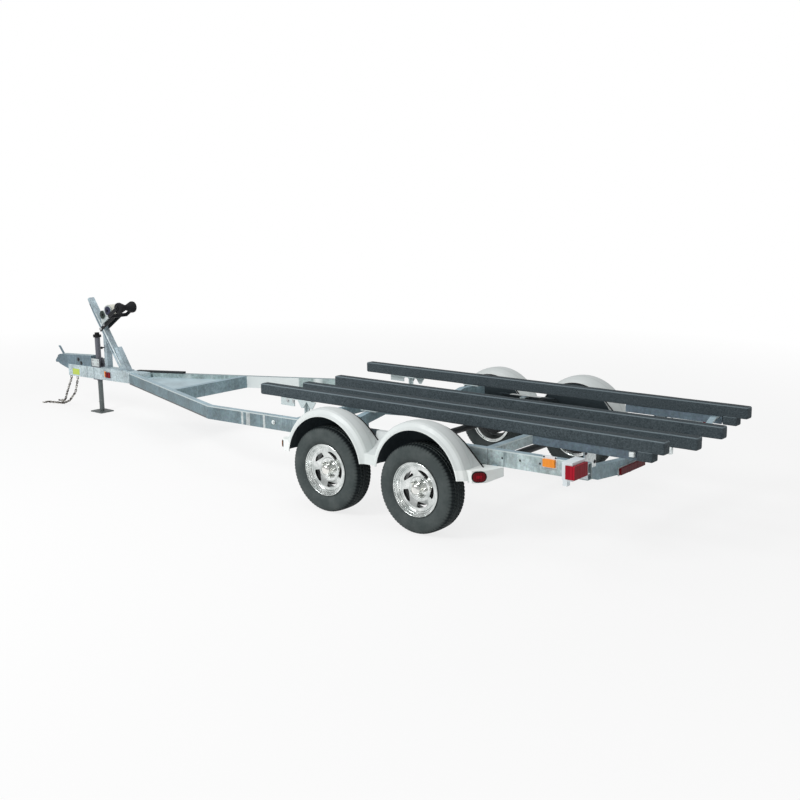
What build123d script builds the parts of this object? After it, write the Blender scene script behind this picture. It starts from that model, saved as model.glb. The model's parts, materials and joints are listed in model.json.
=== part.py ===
from build123d import *
from math import atan2, cos, pi, radians, sin, tan
import os

# A tandem-axle boat trailer, in millimetres. X runs to the rear, Y to the trailer's
# right side and Z up from the ground. The frame is drawn level, with X = 0 at the rear
# axle, and is then tipped nose-down by NOSE_DOWN as it stands on its jack. At the end
# everything moves along X, so that the origin is under the middle of the trailer.

# ---------------------------------------------------------------- driving dimensions
NOSE_DOWN = 1.43          # degrees, slope of the frame as it stands on its jack
BUNK_SLOPE = 0.69         # degrees, slope of the bunks over the ground

AXLE_SPACING = 896.0
TYRE_R = 340.0
TYRE_W = 205.0
RIM_FLANGE_R = 207.5      # flange of a 15-inch rim
TRACK_OUT = 372.0         # from a rail's outer face to the outer flange plane of the rims
RIM_W = 178.0

RAIL_TOP = 631.0
RAIL_H = 121.0
RAIL_W = 55.0
WALL = 5.0                # wall of every box tube
FRAME_HALF = 868.0        # centre line to the outer face of the straight rails
RAIL_NOSE_X = -4807.0
RAIL_NOSE_HALF = 73.0
BEND_X = -2651.0
RAIL_REAR_X = 1235.0

TONGUE_W = 105.0
TONGUE_H = 130.0
TONGUE_TOP = 643.0
TONGUE_FRONT_X = -5930.0
TONGUE_REAR_X = -4600.0

BUNK_W = 88.0
BUNK_H = 95.0
OUTER_BUNK_Y = 757.0      # outer face of the outer bunks
INNER_BUNK_Y = 262.0      # outer face of the inner bunks
OUTER_BUNK_TOP = 846.0    # over the ground at the rear axle
INNER_BUNK_TOP = 784.0
OUTER_BUNK_X = (-2083.0, 1734.0)
INNER_BUNK_X = (-2054.0, 1746.0)

CHANNEL_H = 62.0          # channels under the rear of the outer bunks
SEAT_GAP = 0.3            # between pieces that touch without being joined
RUN_GAP = 0.05            # radial clearance of a running fit

# ---------------------------------------------------------------- sizes that follow
RAIL_BOTTOM = RAIL_TOP - RAIL_H
RAIL_INNER = FRAME_HALF - RAIL_W
RAIL_MID = FRAME_HALF - RAIL_W / 2
RIM_FACE_Y = FRAME_HALF + TRACK_OUT
TONGUE_BOTTOM = TONGUE_TOP - TONGUE_H
TAPER = atan2(FRAME_HALF - RAIL_NOSE_HALF, BEND_X - RAIL_NOSE_X)
AXLE_X = {"rear": 0.0, "front": -AXLE_SPACING}
SIDES = {"left": -1, "right": 1}


# ---------------------------------------------------------------- helpers
def block(x, y, z):
    """Box between two X, two Y and two Z values."""
    size = [abs(b - a) for a, b in (x, y, z)]
    mid = [(a + b) / 2 for a, b in (x, y, z)]
    return Pos(*mid) * Box(*size)


def rod(start, end, radius):
    """Round bar between two points."""
    a, b = Vector(*start), Vector(*end)
    return Solid.make_cylinder(radius, (b - a).length, Plane(origin=a, z_dir=b - a))


def plate_xz(points, y0, y1):
    """Prism with an outline in X and Z."""
    face = Face(Wire.make_polygon([(x, y0, z) for x, z in points]))
    return Solid.extrude(face, Vector(0, y1 - y0, 0))


def plate_yz(points, x0, x1):
    """Prism with an outline in Y and Z."""
    face = Face(Wire.make_polygon([(x0, y, z) for y, z in points]))
    return Solid.extrude(face, Vector(x1 - x0, 0, 0))


def plate_xy(points, z0, z1):
    """Prism with an outline in X and Y."""
    face = Face(Wire.make_polygon([(x, y, z0) for x, y in points]))
    return Solid.extrude(face, Vector(0, 0, z1 - z0))


def turned(profile, x, y, z, side=1):
    """Solid of revolution about a Y axis; the profile lists (radius, outward distance)."""
    face = Face(Wire.make_polygon([(r, side * d, 0) for r, d in profile]))
    return Pos(x, y, z) * Solid.revolve(face, 360, Axis.Y)


def joined(shapes):
    """One solid from pieces that overlap or share faces."""
    first, *rest = list(shapes)
    return first.fuse(*rest) if rest else first


def tipped(shape):
    """From the level frame to the frame as it stands, nose down."""
    return Rot(0, -NOSE_DOWN, 0) * shape


def bunk_frame(shape):
    return Rot(0, -BUNK_SLOPE, 0) * shape


def bunk_base(x, top):
    """Underside of a bunk at x, as a height in the level frame."""
    return top - BUNK_H + x * (tan(radians(BUNK_SLOPE)) - tan(radians(NOSE_DOWN)))


def rail_inner_at(x):
    """Distance of a side rail's inner face from the centre line."""
    bend = BEND_X + RAIL_W * tan(TAPER / 2)
    return RAIL_INNER - max(0.0, bend - x) * tan(TAPER)


nodes = {}


# ---------------------------------------------------------------- frame
def rail_outline(inset, side, x0, x1):
    """Plan outline of a bent side rail, its faces moved in by an inset."""
    half, width = FRAME_HALF - inset, RAIL_W - 2 * inset
    bend = BEND_X + inset * tan(TAPER / 2)
    inner_bend = bend + width * tan(TAPER / 2)
    outer = [(x0, half - (bend - x0) * tan(TAPER)), (bend, half), (x1, half)]
    inner = [(x1, half - width), (inner_bend, half - width),
             (x0, half - width - (inner_bend - x0) * tan(TAPER))]
    return [(x, side * y) for x, y in outer + inner]


def side_rail(side):
    outside = plate_xy(rail_outline(0, side, RAIL_NOSE_X, RAIL_REAR_X), RAIL_BOTTOM, RAIL_TOP)
    hollow = plate_xy(rail_outline(WALL, side, RAIL_NOSE_X - 200, RAIL_REAR_X + 10),
                      RAIL_BOTTOM + WALL, RAIL_TOP - WALL)
    beside_tongue = block((RAIL_NOSE_X - 300, TONGUE_REAR_X), (-TONGUE_W / 2, TONGUE_W / 2),
                          (RAIL_BOTTOM - 50, RAIL_TOP + 50))
    return outside - hollow - beside_tongue


JACK_X = -5425.0
JACK_TUBE_R = 30.0
JACK_TUBE_TOP = 975.0


def tongue():
    half = TONGUE_W / 2
    span = (TONGUE_FRONT_X, TONGUE_REAR_X)
    tube = block(span, (-half, half), (TONGUE_BOTTOM, TONGUE_TOP))
    inside = block((span[0] - 10, span[1] + 10), (-half + WALL, half - WALL),
                   (TONGUE_BOTTOM + WALL, TONGUE_TOP - WALL))
    return tube - inside - rod((JACK_X, 0, 0), (JACK_X, 0, 900), JACK_TUBE_R)


FRONT_BEAM_X = -3590.0
BEAM_W = 60.0
GUSSET_DROP = 45.0        # gusset plate below the top of the rails
GUSSET_T = 8.0


def front_beam():
    x0, x1 = FRONT_BEAM_X - BEAM_W / 2, FRONT_BEAM_X + BEAM_W / 2
    y0, y1 = rail_inner_at(x0), rail_inner_at(x1)
    beam = plate_xy([(x0, -y0), (x1, -y1), (x1, y1), (x0, y0)], RAIL_BOTTOM, RAIL_TOP)
    pocket = block((x0 - 1, x1 - WALL), (-y0 + WALL, y0 - WALL), (RAIL_BOTTOM - 1, RAIL_TOP - WALL))
    return beam - pocket


def gusset():
    x0, x1 = RAIL_NOSE_X + 80, FRONT_BEAM_X - BEAM_W / 2
    z1 = RAIL_TOP - GUSSET_DROP
    y0, y1 = rail_inner_at(x0), rail_inner_at(x1)
    plate = plate_xy([(x0, -y0), (x1, -y1), (x1, y1), (x0, y0)], z1 - GUSSET_T, z1)
    return plate - block((x0 - 10, TONGUE_REAR_X), (-TONGUE_W / 2, TONGUE_W / 2), (0, 900))


LEVEL_BEAMS = {"mid": -1560.0, "aft": 390.0}
LEVEL_BEAM_H = 76.0


def level_beam(x):
    x0, x1 = x - BEAM_W / 2, x + BEAM_W / 2
    beam = block((x0, x1), (-RAIL_INNER, RAIL_INNER), (RAIL_TOP - LEVEL_BEAM_H, RAIL_TOP))
    pocket = block((x0 - 1, x1 - WALL), (-RAIL_INNER + WALL, RAIL_INNER - WALL),
                   (RAIL_TOP - LEVEL_BEAM_H + WALL, RAIL_TOP - WALL))
    return beam - pocket


RAISED_BEAM_X = -850.0
RAISED_BEAM_H = 75.0
SADDLE_T = 8.0
RAISED_FLAT_Y = 560.0     # the raised beam's middle part lies within this distance


def raised_beam():
    """Bent beam that rises from the rails to the outer bunks and dips under the inner ones."""
    top = bunk_base(RAISED_BEAM_X, OUTER_BUNK_TOP) - SADDLE_T
    middle = bunk_base(RAISED_BEAM_X, INNER_BUNK_TOP) - SADDLE_T - 40
    half = [(0, middle), (RAISED_FLAT_Y, top), (OUTER_BUNK_Y, top - 6), (FRAME_HALF, top - 24)]
    under = [(FRAME_HALF, top - 106), (RAISED_FLAT_Y, top - 55), (0, middle - RAISED_BEAM_H)]
    right = half + under
    left = [(-y, z) for y, z in reversed(half[1:])] + [(0, middle)]
    low_left = [(0, middle - RAISED_BEAM_H)] + [(-y, z) for y, z in reversed(under[:2])]
    x0, x1 = RAISED_BEAM_X - BEAM_W / 2, RAISED_BEAM_X + BEAM_W / 2
    beam = [plate_yz(right, x0, x1), plate_yz(left + low_left, x0, x1)]
    feet = [block((x0, x1), sorted((s * FRAME_HALF, s * (RAIL_INNER - 40))), (RAIL_TOP, top - 80))
            for s in (-1, 1)]
    return joined(beam + feet)


REAR_BEAM_X = 1080.0
REAR_BEAM_H = 108.0
REAR_BEAM_LOW = [(0.0, 372.0), (500.0, 418.0), (RAIL_INNER, 512.0)]   # underside, (Y, Z)
END_PLATE_T = 8.0
END_PLATE_W = 165.0       # end plates carry the bunk channels
END_PLATE_IN = 45.0       # from the outer bunks' outer faces to the plates
END_PLATE_H = 145.0


def rear_beam():
    left = [(-y, z) for y, z in reversed(REAR_BEAM_LOW)]
    lower = left + REAR_BEAM_LOW[1:]
    upper = [(y, z + REAR_BEAM_H) for y, z in reversed(lower)]
    x1 = REAR_BEAM_X + BEAM_W / 2
    beam = plate_yz(lower + upper, x1 - BEAM_W, x1)
    top = bunk_base(x1, OUTER_BUNK_TOP) - CHANNEL_H - 1
    y1 = OUTER_BUNK_Y - END_PLATE_IN
    xs, zs = (x1, x1 + END_PLATE_T), (top - END_PLATE_H, top)
    plates = [block(xs, sorted((s * y1, s * (y1 - END_PLATE_W))), zs) for s in (-1, 1)]
    return joined([beam] + plates)


# ---------------------------------------------------------------- running gear
AXLE_R = 30.0
HUB_R = 48.0
SPINDLE_R = 19.0
DRUM_R = 130.0
DRUM_W = 70.0
RIM_DISC = 62.0           # rim disc behind the outer flange plane
HUB_FACE = RIM_FACE_Y - RIM_DISC
DRUM_INNER = HUB_FACE - 12 - DRUM_W
SPRING_W = 45.0
SPRING_Y = RAIL_MID
SPRING_SPAN = 660.0
EYE_Z = RAIL_BOTTOM - 62.0
EYE_R = 20.0
EYE_PIN_R = 8.0


def level_point(x):
    """Wheel centre over x, in the level frame."""
    a = radians(NOSE_DOWN)
    return (x * cos(a) + TYRE_R * sin(a), TYRE_R * cos(a) - x * sin(a))


def axle(x):
    beam = rod((x, -DRUM_INNER + 12, TYRE_R), (x, DRUM_INNER - 12, TYRE_R), AXLE_R)
    parts = [beam]
    for s in (-1, 1):
        parts.append(rod((x, s * (DRUM_INNER - 14), TYRE_R), (x, s * (DRUM_INNER - 4), TYRE_R), DRUM_R - 8))
        parts.append(rod((x, s * (DRUM_INNER - 14), TYRE_R), (x, s * (HUB_FACE + 18), TYRE_R), SPINDLE_R))
    return joined(parts)


def spring(x, side):
    """Leaf spring over an axle, an arc thickened in the middle, with an eye at each end."""
    cx, cz = level_point(x)
    seat = cz + AXLE_R + 8
    leaf = 9.0
    y0 = side * SPRING_Y - SPRING_W / 2
    ends = [(cx + s * SPRING_SPAN / 2, EYE_Z - EYE_R + leaf / 2) for s in (-1, 1)]
    layers = []
    for i, share in enumerate((1.0, 0.72, 0.45)):
        z = seat + 2 * leaf - i * leaf
        sag = (ends[0][1] - (seat + 2 * leaf)) * share * share
        half = SPRING_SPAN / 2 * share
        top = [(cx - half, z + sag + leaf), (cx, z + leaf), (cx + half, z + sag + leaf)]
        low = [(a, b - leaf) for a, b in top]
        wire = Wire([Edge.make_three_point_arc(*[(a, y0, b) for a, b in top]),
                     Edge.make_line((top[2][0], y0, top[2][1]), (low[2][0], y0, low[2][1])),
                     Edge.make_three_point_arc(*[(a, y0, b) for a, b in reversed(low)]),
                     Edge.make_line((low[0][0], y0, low[0][1]), (top[0][0], y0, top[0][1]))])
        layers.append(Solid.extrude(Face(wire), Vector(0, SPRING_W, 0)))
    for ex, ez in ends:
        layers.append(rod((ex, y0, ez + EYE_R - leaf / 2), (ex, y0 + SPRING_W, ez + EYE_R - leaf / 2), EYE_R))
    body = joined(layers)
    for ex, ez in ends:
        centre = ez + EYE_R - leaf / 2
        body -= rod((ex, y0 - 1, centre), (ex, y0 + SPRING_W + 1, centre), EYE_PIN_R)
    clamp = block((cx - 55, cx + 55), (y0 - 14, y0 + SPRING_W + 14), (seat - 8, seat + leaf))
    return joined([body, clamp])


def hangers(side):
    """Hanger brackets with their pins, and the equaliser between the two springs."""
    out = []
    y_mid = side * SPRING_Y
    front, rear = level_point(AXLE_X["front"])[0], level_point(0)[0]
    outer = [front - SPRING_SPAN / 2, rear + SPRING_SPAN / 2]
    inner = [front + SPRING_SPAN / 2, rear - SPRING_SPAN / 2]
    gap = SPRING_W / 2 + 2
    for x in outer:
        cheeks = [block((x - 32, x + 32), (y_mid + s * gap, y_mid + s * (gap + 6)), (EYE_Z - 26, RAIL_BOTTOM))
                  for s in (-1, 1)]
        pin = rod((x, y_mid - gap - 10, EYE_Z), (x, y_mid + gap + 10, EYE_Z), EYE_PIN_R - RUN_GAP)
        out.append(joined(cheeks + [pin]))
    x = sum(inner) / 2
    half = (inner[1] - inner[0]) / 2
    hub = gap + 10
    cheeks = [block((x - 38, x + 38), (y_mid + s * hub, y_mid + s * (hub + 6)), (EYE_Z - 8, RAIL_BOTTOM))
              for s in (-1, 1)]
    pivot = rod((x, y_mid - hub, EYE_Z + 18), (x, y_mid + hub, EYE_Z + 18), 12)
    arms = []
    for s in (-1, 1):
        y0 = y_mid + s * gap
        points = [(x - half - 20, EYE_Z - 16), (x + half + 20, EYE_Z - 16), (x + half + 20, EYE_Z + 14),
                  (x + 30, EYE_Z + 36), (x - 30, EYE_Z + 36), (x - half - 20, EYE_Z + 14)]
        arms.append(plate_xz(points, y0, y0 + s * 8))
    pins = [rod((a, y_mid - gap - 8, EYE_Z), (a, y_mid + gap + 8, EYE_Z), EYE_PIN_R - RUN_GAP) for a in inner]
    out.append(joined(cheeks + [pivot] + arms + pins))
    return out


# Tyre profile: (radius, outward distance from the tyre's middle plane).
TYRE_BORE = RIM_FLANGE_R - 17.3
TYRE_MID_Y = RIM_FACE_Y - RIM_W / 2
BEAD_SEAT = 14.0          # from a rim's flange plane to where the tyre's bead sits


TYRE_FACETS = 32


def ring(profile, x, y, z, side, count):
    """Ring of flat facets about a Y axis; the facets' middles lie on the profile's radii."""
    grow = 1 / cos(pi / count)
    loops = []
    for i in range(count):
        a = 2 * pi * (i + 0.5) / count
        loops.append([Vector(x + r * grow * cos(a), y + side * d, z + r * grow * sin(a)) for r, d in profile])
    faces = []
    for here, after in zip(loops, loops[1:] + loops[:1]):
        for k in range(len(profile)):
            n = (k + 1) % len(profile)
            faces.append(Face(Wire.make_polygon([here[k], here[n], after[n], after[k]])))
    return Solid(Shell(faces))


def tyre(x, side):
    half = TYRE_W / 2
    bead = RIM_W / 2 - BEAD_SEAT - SEAT_GAP
    profile = [(TYRE_BORE, -bead), (RIM_FLANGE_R + 3, -bead - 3), (TYRE_R - 72, -half),
               (TYRE_R - 10, -half + 12), (TYRE_R, -half + 28), (TYRE_R, half - 28),
               (TYRE_R - 10, half - 12), (TYRE_R - 72, half), (RIM_FLANGE_R + 3, bead + 3),
               (TYRE_BORE, bead)]
    return ring(profile, x, side * TYRE_MID_Y, TYRE_R, 1, TYRE_FACETS)


RIM_WINDOWS = 5
WINDOW_R = 124.0          # centre of a rim window from the wheel's axis
WINDOW_L = 46.0           # between the centres of its two rounded ends
WINDOW_W = 44.0
RIM_T = 4.0
LUGS = 5
LUG_CIRCLE_R = 60.0
STUD_R = 7.0


def lug_points(x):
    angles = [2 * pi * i / LUGS for i in range(LUGS)]
    return [(x + LUG_CIRCLE_R * cos(a), TYRE_R + LUG_CIRCLE_R * sin(a)) for a in angles]


def rim(x, side):
    """Barrel with stepped rings and a dished disc. Outward distances run from the flange plane."""
    bore = TYRE_BORE - SEAT_GAP
    back = -RIM_W
    barrel = [(RIM_FLANGE_R, 0), (RIM_FLANGE_R, -10), (bore, -BEAD_SEAT), (bore, back + BEAD_SEAT),
              (RIM_FLANGE_R, back + 10), (RIM_FLANGE_R, back), (bore - RIM_T - 4, back),
              (bore - RIM_T - 4, -62), (168, -60), (140, -RIM_DISC + 1), (42, -RIM_DISC),
              (42, -RIM_DISC + 8), (92, -RIM_DISC + 6), (110, -46), (150, -36), (163, -36), (168, -24),
              (177, -24), (182, -10), (RIM_FLANGE_R - 10, -8), (RIM_FLANGE_R - 6, 0)]
    whole = turned(barrel, x, side * RIM_FACE_Y, TYRE_R, side)
    y0, y1 = sorted((side * (RIM_FACE_Y - 90), side * (RIM_FACE_Y - 5)))
    half = WINDOW_L / 2
    for i in range(RIM_WINDOWS):
        a = 2 * pi * (i - 0.04) / RIM_WINDOWS
        ends = [(x + WINDOW_R * cos(a) + s * half * sin(a), TYRE_R + WINDOW_R * sin(a) - s * half * cos(a))
                for s in (-1, 1)]
        for cx, cz in ends:
            whole -= rod((cx, y0, cz), (cx, y1, cz), WINDOW_W / 2)
        wide = WINDOW_W / 2
        corners = [(ex + s * wide * cos(a), ez + s * wide * sin(a)) for (ex, ez), s in
                   zip(ends + ends[::-1], (-1, -1, 1, 1))]
        whole -= plate_xz(corners, y0, y1)
    for sx, sz in lug_points(x):
        whole -= rod((sx, side * (HUB_FACE - 1), sz), (sx, side * (HUB_FACE + 30), sz), STUD_R + SEAT_GAP)
    return whole


def hub(x, side):
    """Brake drum, hub barrel, five lug nuts and the grease cap, turning on the spindle."""
    face = HUB_FACE - SEAT_GAP
    drum = [(SPINDLE_R + RUN_GAP, face - 50), (SPINDLE_R + RUN_GAP, face + 22), (HUB_R - 8, face + 22),
            (HUB_R - 8, face), (DRUM_R - 10, face), (DRUM_R, face - 12), (DRUM_R, DRUM_INNER - 2),
            (DRUM_R - 6, DRUM_INNER - 2), (DRUM_R - 6, face - 12), (HUB_R, face - 12), (HUB_R, face - 50)]
    body = turned(drum, x, 0, TYRE_R, side)
    cap = turned([(0, face + 24), (HUB_R - 8, face + 24), (HUB_R - 10, face + 56), (HUB_R - 20, face + 64),
                  (0, face + 64)], x, 0, TYRE_R, side)
    neck = turned([(HUB_R - 16, face + 20), (HUB_R - 8, face + 20), (HUB_R - 8, face + 26),
                   (HUB_R - 16, face + 26)], x, 0, TYRE_R, side)
    parts = [body, neck, cap]
    for sx, sz in lug_points(x):
        parts.append(rod((sx, side * (face - 2), sz), (sx, side * (face + 28), sz), STUD_R))
        parts.append(rod((sx, side * (face + 8 + 2 * SEAT_GAP), sz), (sx, side * (face + 30), sz), 11))
    return joined(parts)


# ---------------------------------------------------------------- fenders
FENDER_W = 242.0          # across an arch
FENDER_OUT_Y = RIM_FACE_Y + 32
FENDER_IN_Y = FENDER_OUT_Y - FENDER_W
ARCH_SHIFT = {"front": 27.0, "rear": 38.0}       # of an arch behind its axle
ARCH_X = {place: x + ARCH_SHIFT[place] for place, x in AXLE_X.items()}
ARCH_Z = 419.0
ARCH_R = 375.0
SHEET = 4.0
FENDER_LOW = 472.0
# (radius over the lip's, distance inside the outer plane) across an arch, from its lip inward
ARCH_PROFILE = [(0, 0), (9, -2), (23, 12), (48, 28), (58, 44), (61, 90), (59, 125), (51, 160),
                (37, 195), (15, 228), (7, FENDER_W)]
ARCH_SECTION = [(ARCH_R + swell, depth) for swell, depth in ARCH_PROFILE]
FLANK_R = ARCH_R + 11     # radius that an arch's straight rear flank leaves, at 45 degrees
FLANK_END = ARCH_R + 62   # from the arch's centre to the flank's end
FLANK_OUT_Y = FENDER_OUT_Y - 82
DIP_X = sum(ARCH_X.values()) / 2
DIP_HALF = (ARCH_X["rear"] - ARCH_X["front"]) / 2 - 163.5    # half the bridge's length
DIP_Z = 664.0             # top of the bridge
STEP_IN_Y = FRAME_HALF + 46
STEP_OUT_Y = FENDER_OUT_Y - 62
SHELF_Y = (STEP_IN_Y + 1, STEP_IN_Y + 48)        # flat shelf of the bridge on the frame's side
# (Y, Z) across the bridge, from the shelf to the skirt's lower edge
DIP_SECTION = [(SHELF_Y[0], DIP_Z), (SHELF_Y[1], DIP_Z), (SHELF_Y[1] + 83, DIP_Z - 64),
               (FENDER_OUT_Y - 27, DIP_Z - 112), (FENDER_OUT_Y - 20, FENDER_LOW)]
PAD_START = ARCH_R - 45   # from an arch's centre to where its pad begins
PAD_LENGTH = {"front": ARCH_R + 189, "rear": ARCH_R + 161}   # from an arch's centre to its pad's end
PAD_LOW = 455.0
PAD_TOP = 547.0           # at the outer edge
PAD_TOP_IN = 522.0
PAD_CORNER = 74.0         # cut off each outer corner


def arch_solid(x, side, inset):
    """Solid within the arch's outer surface, or within its inner surface if inset by the sheet."""
    points = [(r - inset, FENDER_OUT_Y - depth) for r, depth in ARCH_SECTION]
    if inset:
        points[0] = (ARCH_R - inset, FENDER_OUT_Y + 10)
        points[1] = (ARCH_R - inset / 4, FENDER_OUT_Y - SHEET)
        points[-1] = (points[-1][0], FENDER_IN_Y + SHEET)
    outline = [(0, points[0][1])] + points + [(0, points[-1][1])]
    face = Face(Wire.make_polygon([(r, side * y, 0) for r, y in outline]))
    return Pos(x, 0, ARCH_Z) * Solid.revolve(face, 360, Axis.Y)


def rear_flank(x, side):
    """Hollow wedge that carries an arch's rear slope straight down from 45 degrees."""
    start = FLANK_R * sin(radians(45))
    end_z = ARCH_Z + 2 * start - FLANK_END

    def body(sheet):
        outline = [(x + start - sheet, ARCH_Z + start - sheet), (x + FLANK_END - sheet, end_z - sheet),
                   (x + FLANK_END - sheet, FENDER_LOW - sheet), (x + PAD_START - sheet, FENDER_LOW - sheet)]
        ys = sorted((side * (FENDER_IN_Y + sheet), side * (FLANK_OUT_Y - sheet)))
        return plate_xz(outline, *ys)

    return body(0) - body(SHEET)


def bridge(side):
    """Folded sheet between the arches: a shelf on the frame's side that slopes down to the outer skirt."""
    shifts = [(0, -1), (-0.33, -1), (-0.4, -0.95), (-1, -0.8), (-1, 0)]
    under = [(y + dy * SHEET, z + dz * SHEET) for (y, z), (dy, dz) in zip(DIP_SECTION, shifts)]
    outline = [(side * y, z) for y, z in DIP_SECTION + under[::-1]]
    return plate_yz(outline, DIP_X - DIP_HALF, DIP_X + DIP_HALF)


def step_pad(place, side):
    """Hollow pad at an end of the fender, its top sloping down towards the frame, its corner cut."""
    away = -1 if place == "front" else 1
    start = ARCH_X[place] + away * PAD_START
    end = ARCH_X[place] + away * PAD_LENGTH[place]

    def body(sheet, low):
        outer, inner = side * (STEP_OUT_Y - sheet), side * (STEP_IN_Y - sheet / 4)
        outline = [(inner, low), (inner, PAD_TOP_IN - sheet), (outer, PAD_TOP - sheet), (outer, low)]
        whole = plate_yz(outline, start + away * sheet, end - away * sheet)
        cut = PAD_CORNER + sheet * 0.6
        y = side * STEP_OUT_Y
        corner = plate_xy([(end, y), (end - away * cut, y), (end, y - side * cut)], 0, 900)
        return whole - corner

    return body(0, PAD_LOW) - body(SHEET, PAD_LOW - 20)


def fender(side):
    """Two arches closed on their inner side, a bridge between them and a step pad at each end."""
    low = block((-3000, 3000), (-2000, 2000), (-1000, FENDER_LOW))
    arches = joined([arch_solid(x, side, 0) for x in ARCH_X.values()]) - low
    flanks = [rear_flank(x, side) for x in ARCH_X.values()]
    shell = joined([arches, bridge(side)] + flanks + [step_pad(place, side) for place in ARCH_X])
    for x in ARCH_X.values():
        shell -= arch_solid(x, side, SHEET)
    return shell


BRACKET_HALF = 25.0       # half the width of a fender bracket, along X
BRACKET_T = 8.0
BRACKET_REACH_Y = SHELF_Y[1] - 7.0


def fender_brackets(side):
    """Angle brackets from the side rail to the step pads and to the bridge between the arches."""
    out = []
    reach = {place: (length + PAD_START) / 2 for place, length in PAD_LENGTH.items()}
    spots = [(ARCH_X["front"] - reach["front"], PAD_TOP_IN), (ARCH_X["rear"] + reach["rear"], PAD_TOP_IN),
             (DIP_X, DIP_Z)]
    for x, top in spots:
        z1 = top - SHEET - SEAT_GAP
        xs = (x - BRACKET_HALF, x + BRACKET_HALF)
        y0 = side * (FRAME_HALF + SEAT_GAP)
        arm = block(xs, sorted((y0, side * BRACKET_REACH_Y)), (z1 - BRACKET_T, z1))
        leg = block(xs, sorted((y0, y0 + side * BRACKET_T)), (min(RAIL_BOTTOM + 10, z1 - 60), z1))
        out.append(joined([arm, leg]))
    return out


# ---------------------------------------------------------------- bunks and their carriers
CHANNEL_X = (700.0, 1525.0)
CHANNEL_W = 60.0
END_BLOCK_X = (1535.0, 1650.0)
SADDLE_L = 160.0
POST_L = 50.0             # along X
POST_T = 10.0             # thickness of a post's flange
TIE_X = 1480.0
CLIP_L = 160.0            # front clips that bolt the bunks to their saddles
CLIP_DROP = 65.0
CLIP_AHEAD = 280.0        # from the middle beam to a clip's front end


def bunk(y_outer, span, top, side, end_block):
    ys = sorted((side * y_outer, side * (y_outer - BUNK_W)))
    box = block(span, ys, (top - BUNK_H, top))
    box = fillet(box.edges().filter_by(Axis.X), 12)
    if end_block:
        box = joined([box, block(END_BLOCK_X, ys, (top - BUNK_H - CHANNEL_H, top - BUNK_H + 20))])
    return bunk_frame(box)


def saddle(x, y, top):
    """Plate under a bunk, lying along it."""
    return bunk_frame(block((x - SADDLE_L / 2, x + SADDLE_L / 2), (y - BUNK_W / 2 + 4, y + BUNK_W / 2 - 4),
                            (top - BUNK_H - SADDLE_T, top - BUNK_H)))


def post(x, y, z0, z1):
    """T-shaped post between a beam and a saddle."""
    web = block((x - POST_T / 2, x + POST_T / 2), (y - 30, y + 30), (z0, z1))
    flange = block((x - POST_L / 2, x + POST_L / 2), (y - POST_T / 2, y + POST_T / 2), (z0, z1))
    return tipped(joined([web, flange]))


def bunk_clip(x, y, top, side):
    """Angle under a bunk ahead of its post, and the pointed cheeks of the post's swivel."""
    low = top - BUNK_H
    front, outer = x - CLIP_AHEAD, y + side * (BUNK_W / 2 - 6)
    ys = sorted((outer, outer - side * SADDLE_T))
    clip = bunk_frame(block((front, front + CLIP_L), ys, (low - CLIP_DROP, low)))
    strip = bunk_frame(block((front, x), sorted((outer, y)), (low - SADDLE_T, low)))
    cheeks = []
    for a in (x - 30, x + 75):
        points = [(a - 55, low - 4), (a + 55, low - 4), (a + 12, low - 68), (a - 12, low - 68)]
        cheeks.append(bunk_frame(plate_xz(points, *ys)))
    return [clip, strip] + cheeks


def bunk_posts():
    out = []
    for side in SIDES.values():
        for y_outer, top in ((OUTER_BUNK_Y, OUTER_BUNK_TOP), (INNER_BUNK_Y, INNER_BUNK_TOP)):
            y = side * (y_outer - BUNK_W / 2)
            for x in LEVEL_BEAMS.values():
                if x == LEVEL_BEAMS["aft"] and y_outer == OUTER_BUNK_Y:
                    continue
                z1 = bunk_base(x, top) - SADDLE_T / 2
                parts = [saddle(x, y, top), post(x, y, RAIL_TOP, z1)]
                if x == LEVEL_BEAMS["mid"]:
                    parts += bunk_clip(x, y, top, side)
                out.append(joined(parts))
            x = RAISED_BEAM_X
            pad = saddle(x, y, top)
            if y_outer == INNER_BUNK_Y:
                z1 = bunk_base(x, top) - SADDLE_T / 2
                stub = tipped(block((x - 25, x + 25), (y - 30, y + 30), (z1 - 60, z1)))
                pad = joined([pad, stub])
            out.append(pad - tipped(raised_beam()))
    return out


def bunk_channel(side):
    """Channel under the rear part of an outer bunk."""
    y = side * (OUTER_BUNK_Y - BUNK_W / 2)
    z1 = OUTER_BUNK_TOP - BUNK_H
    box = block(CHANNEL_X, (y - CHANNEL_W / 2, y + CHANNEL_W / 2), (z1 - CHANNEL_H, z1))
    void = block((CHANNEL_X[0] - 1, CHANNEL_X[1] + 1), (y - CHANNEL_W / 2 + WALL, y + CHANNEL_W / 2 - WALL),
                 (z1 - CHANNEL_H - 1, z1 - WALL))
    return bunk_frame(box - void)


def bunk_tie():
    """Bent bar under the rear of the four bunks."""
    z_out, z_in = OUTER_BUNK_TOP - BUNK_H, INNER_BUNK_TOP - BUNK_H
    y_end = OUTER_BUNK_Y - 14 - CHANNEL_W - SEAT_GAP
    upper = [(0, z_in), (480, z_in), (y_end - 60, z_out), (y_end, z_out)]
    top = [(-y, z) for y, z in reversed(upper)] + upper[1:]
    low = [(y, z - 12) for y, z in reversed(top)]
    return bunk_frame(plate_yz(top + low, TIE_X - 25, TIE_X + 25))


# ---------------------------------------------------------------- lamps
LAMP_X = (1182.0, 1262.0)
LAMP_Y = (FRAME_HALF + 82, FRAME_HALF + 258)
LAMP_Z = (562.0, 690.0)
LENS_T = 24.0
LENS_WRAP = 48.0          # length of a lens round the lamp's outer side
LAMP_TRAY_T = 6.0


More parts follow.
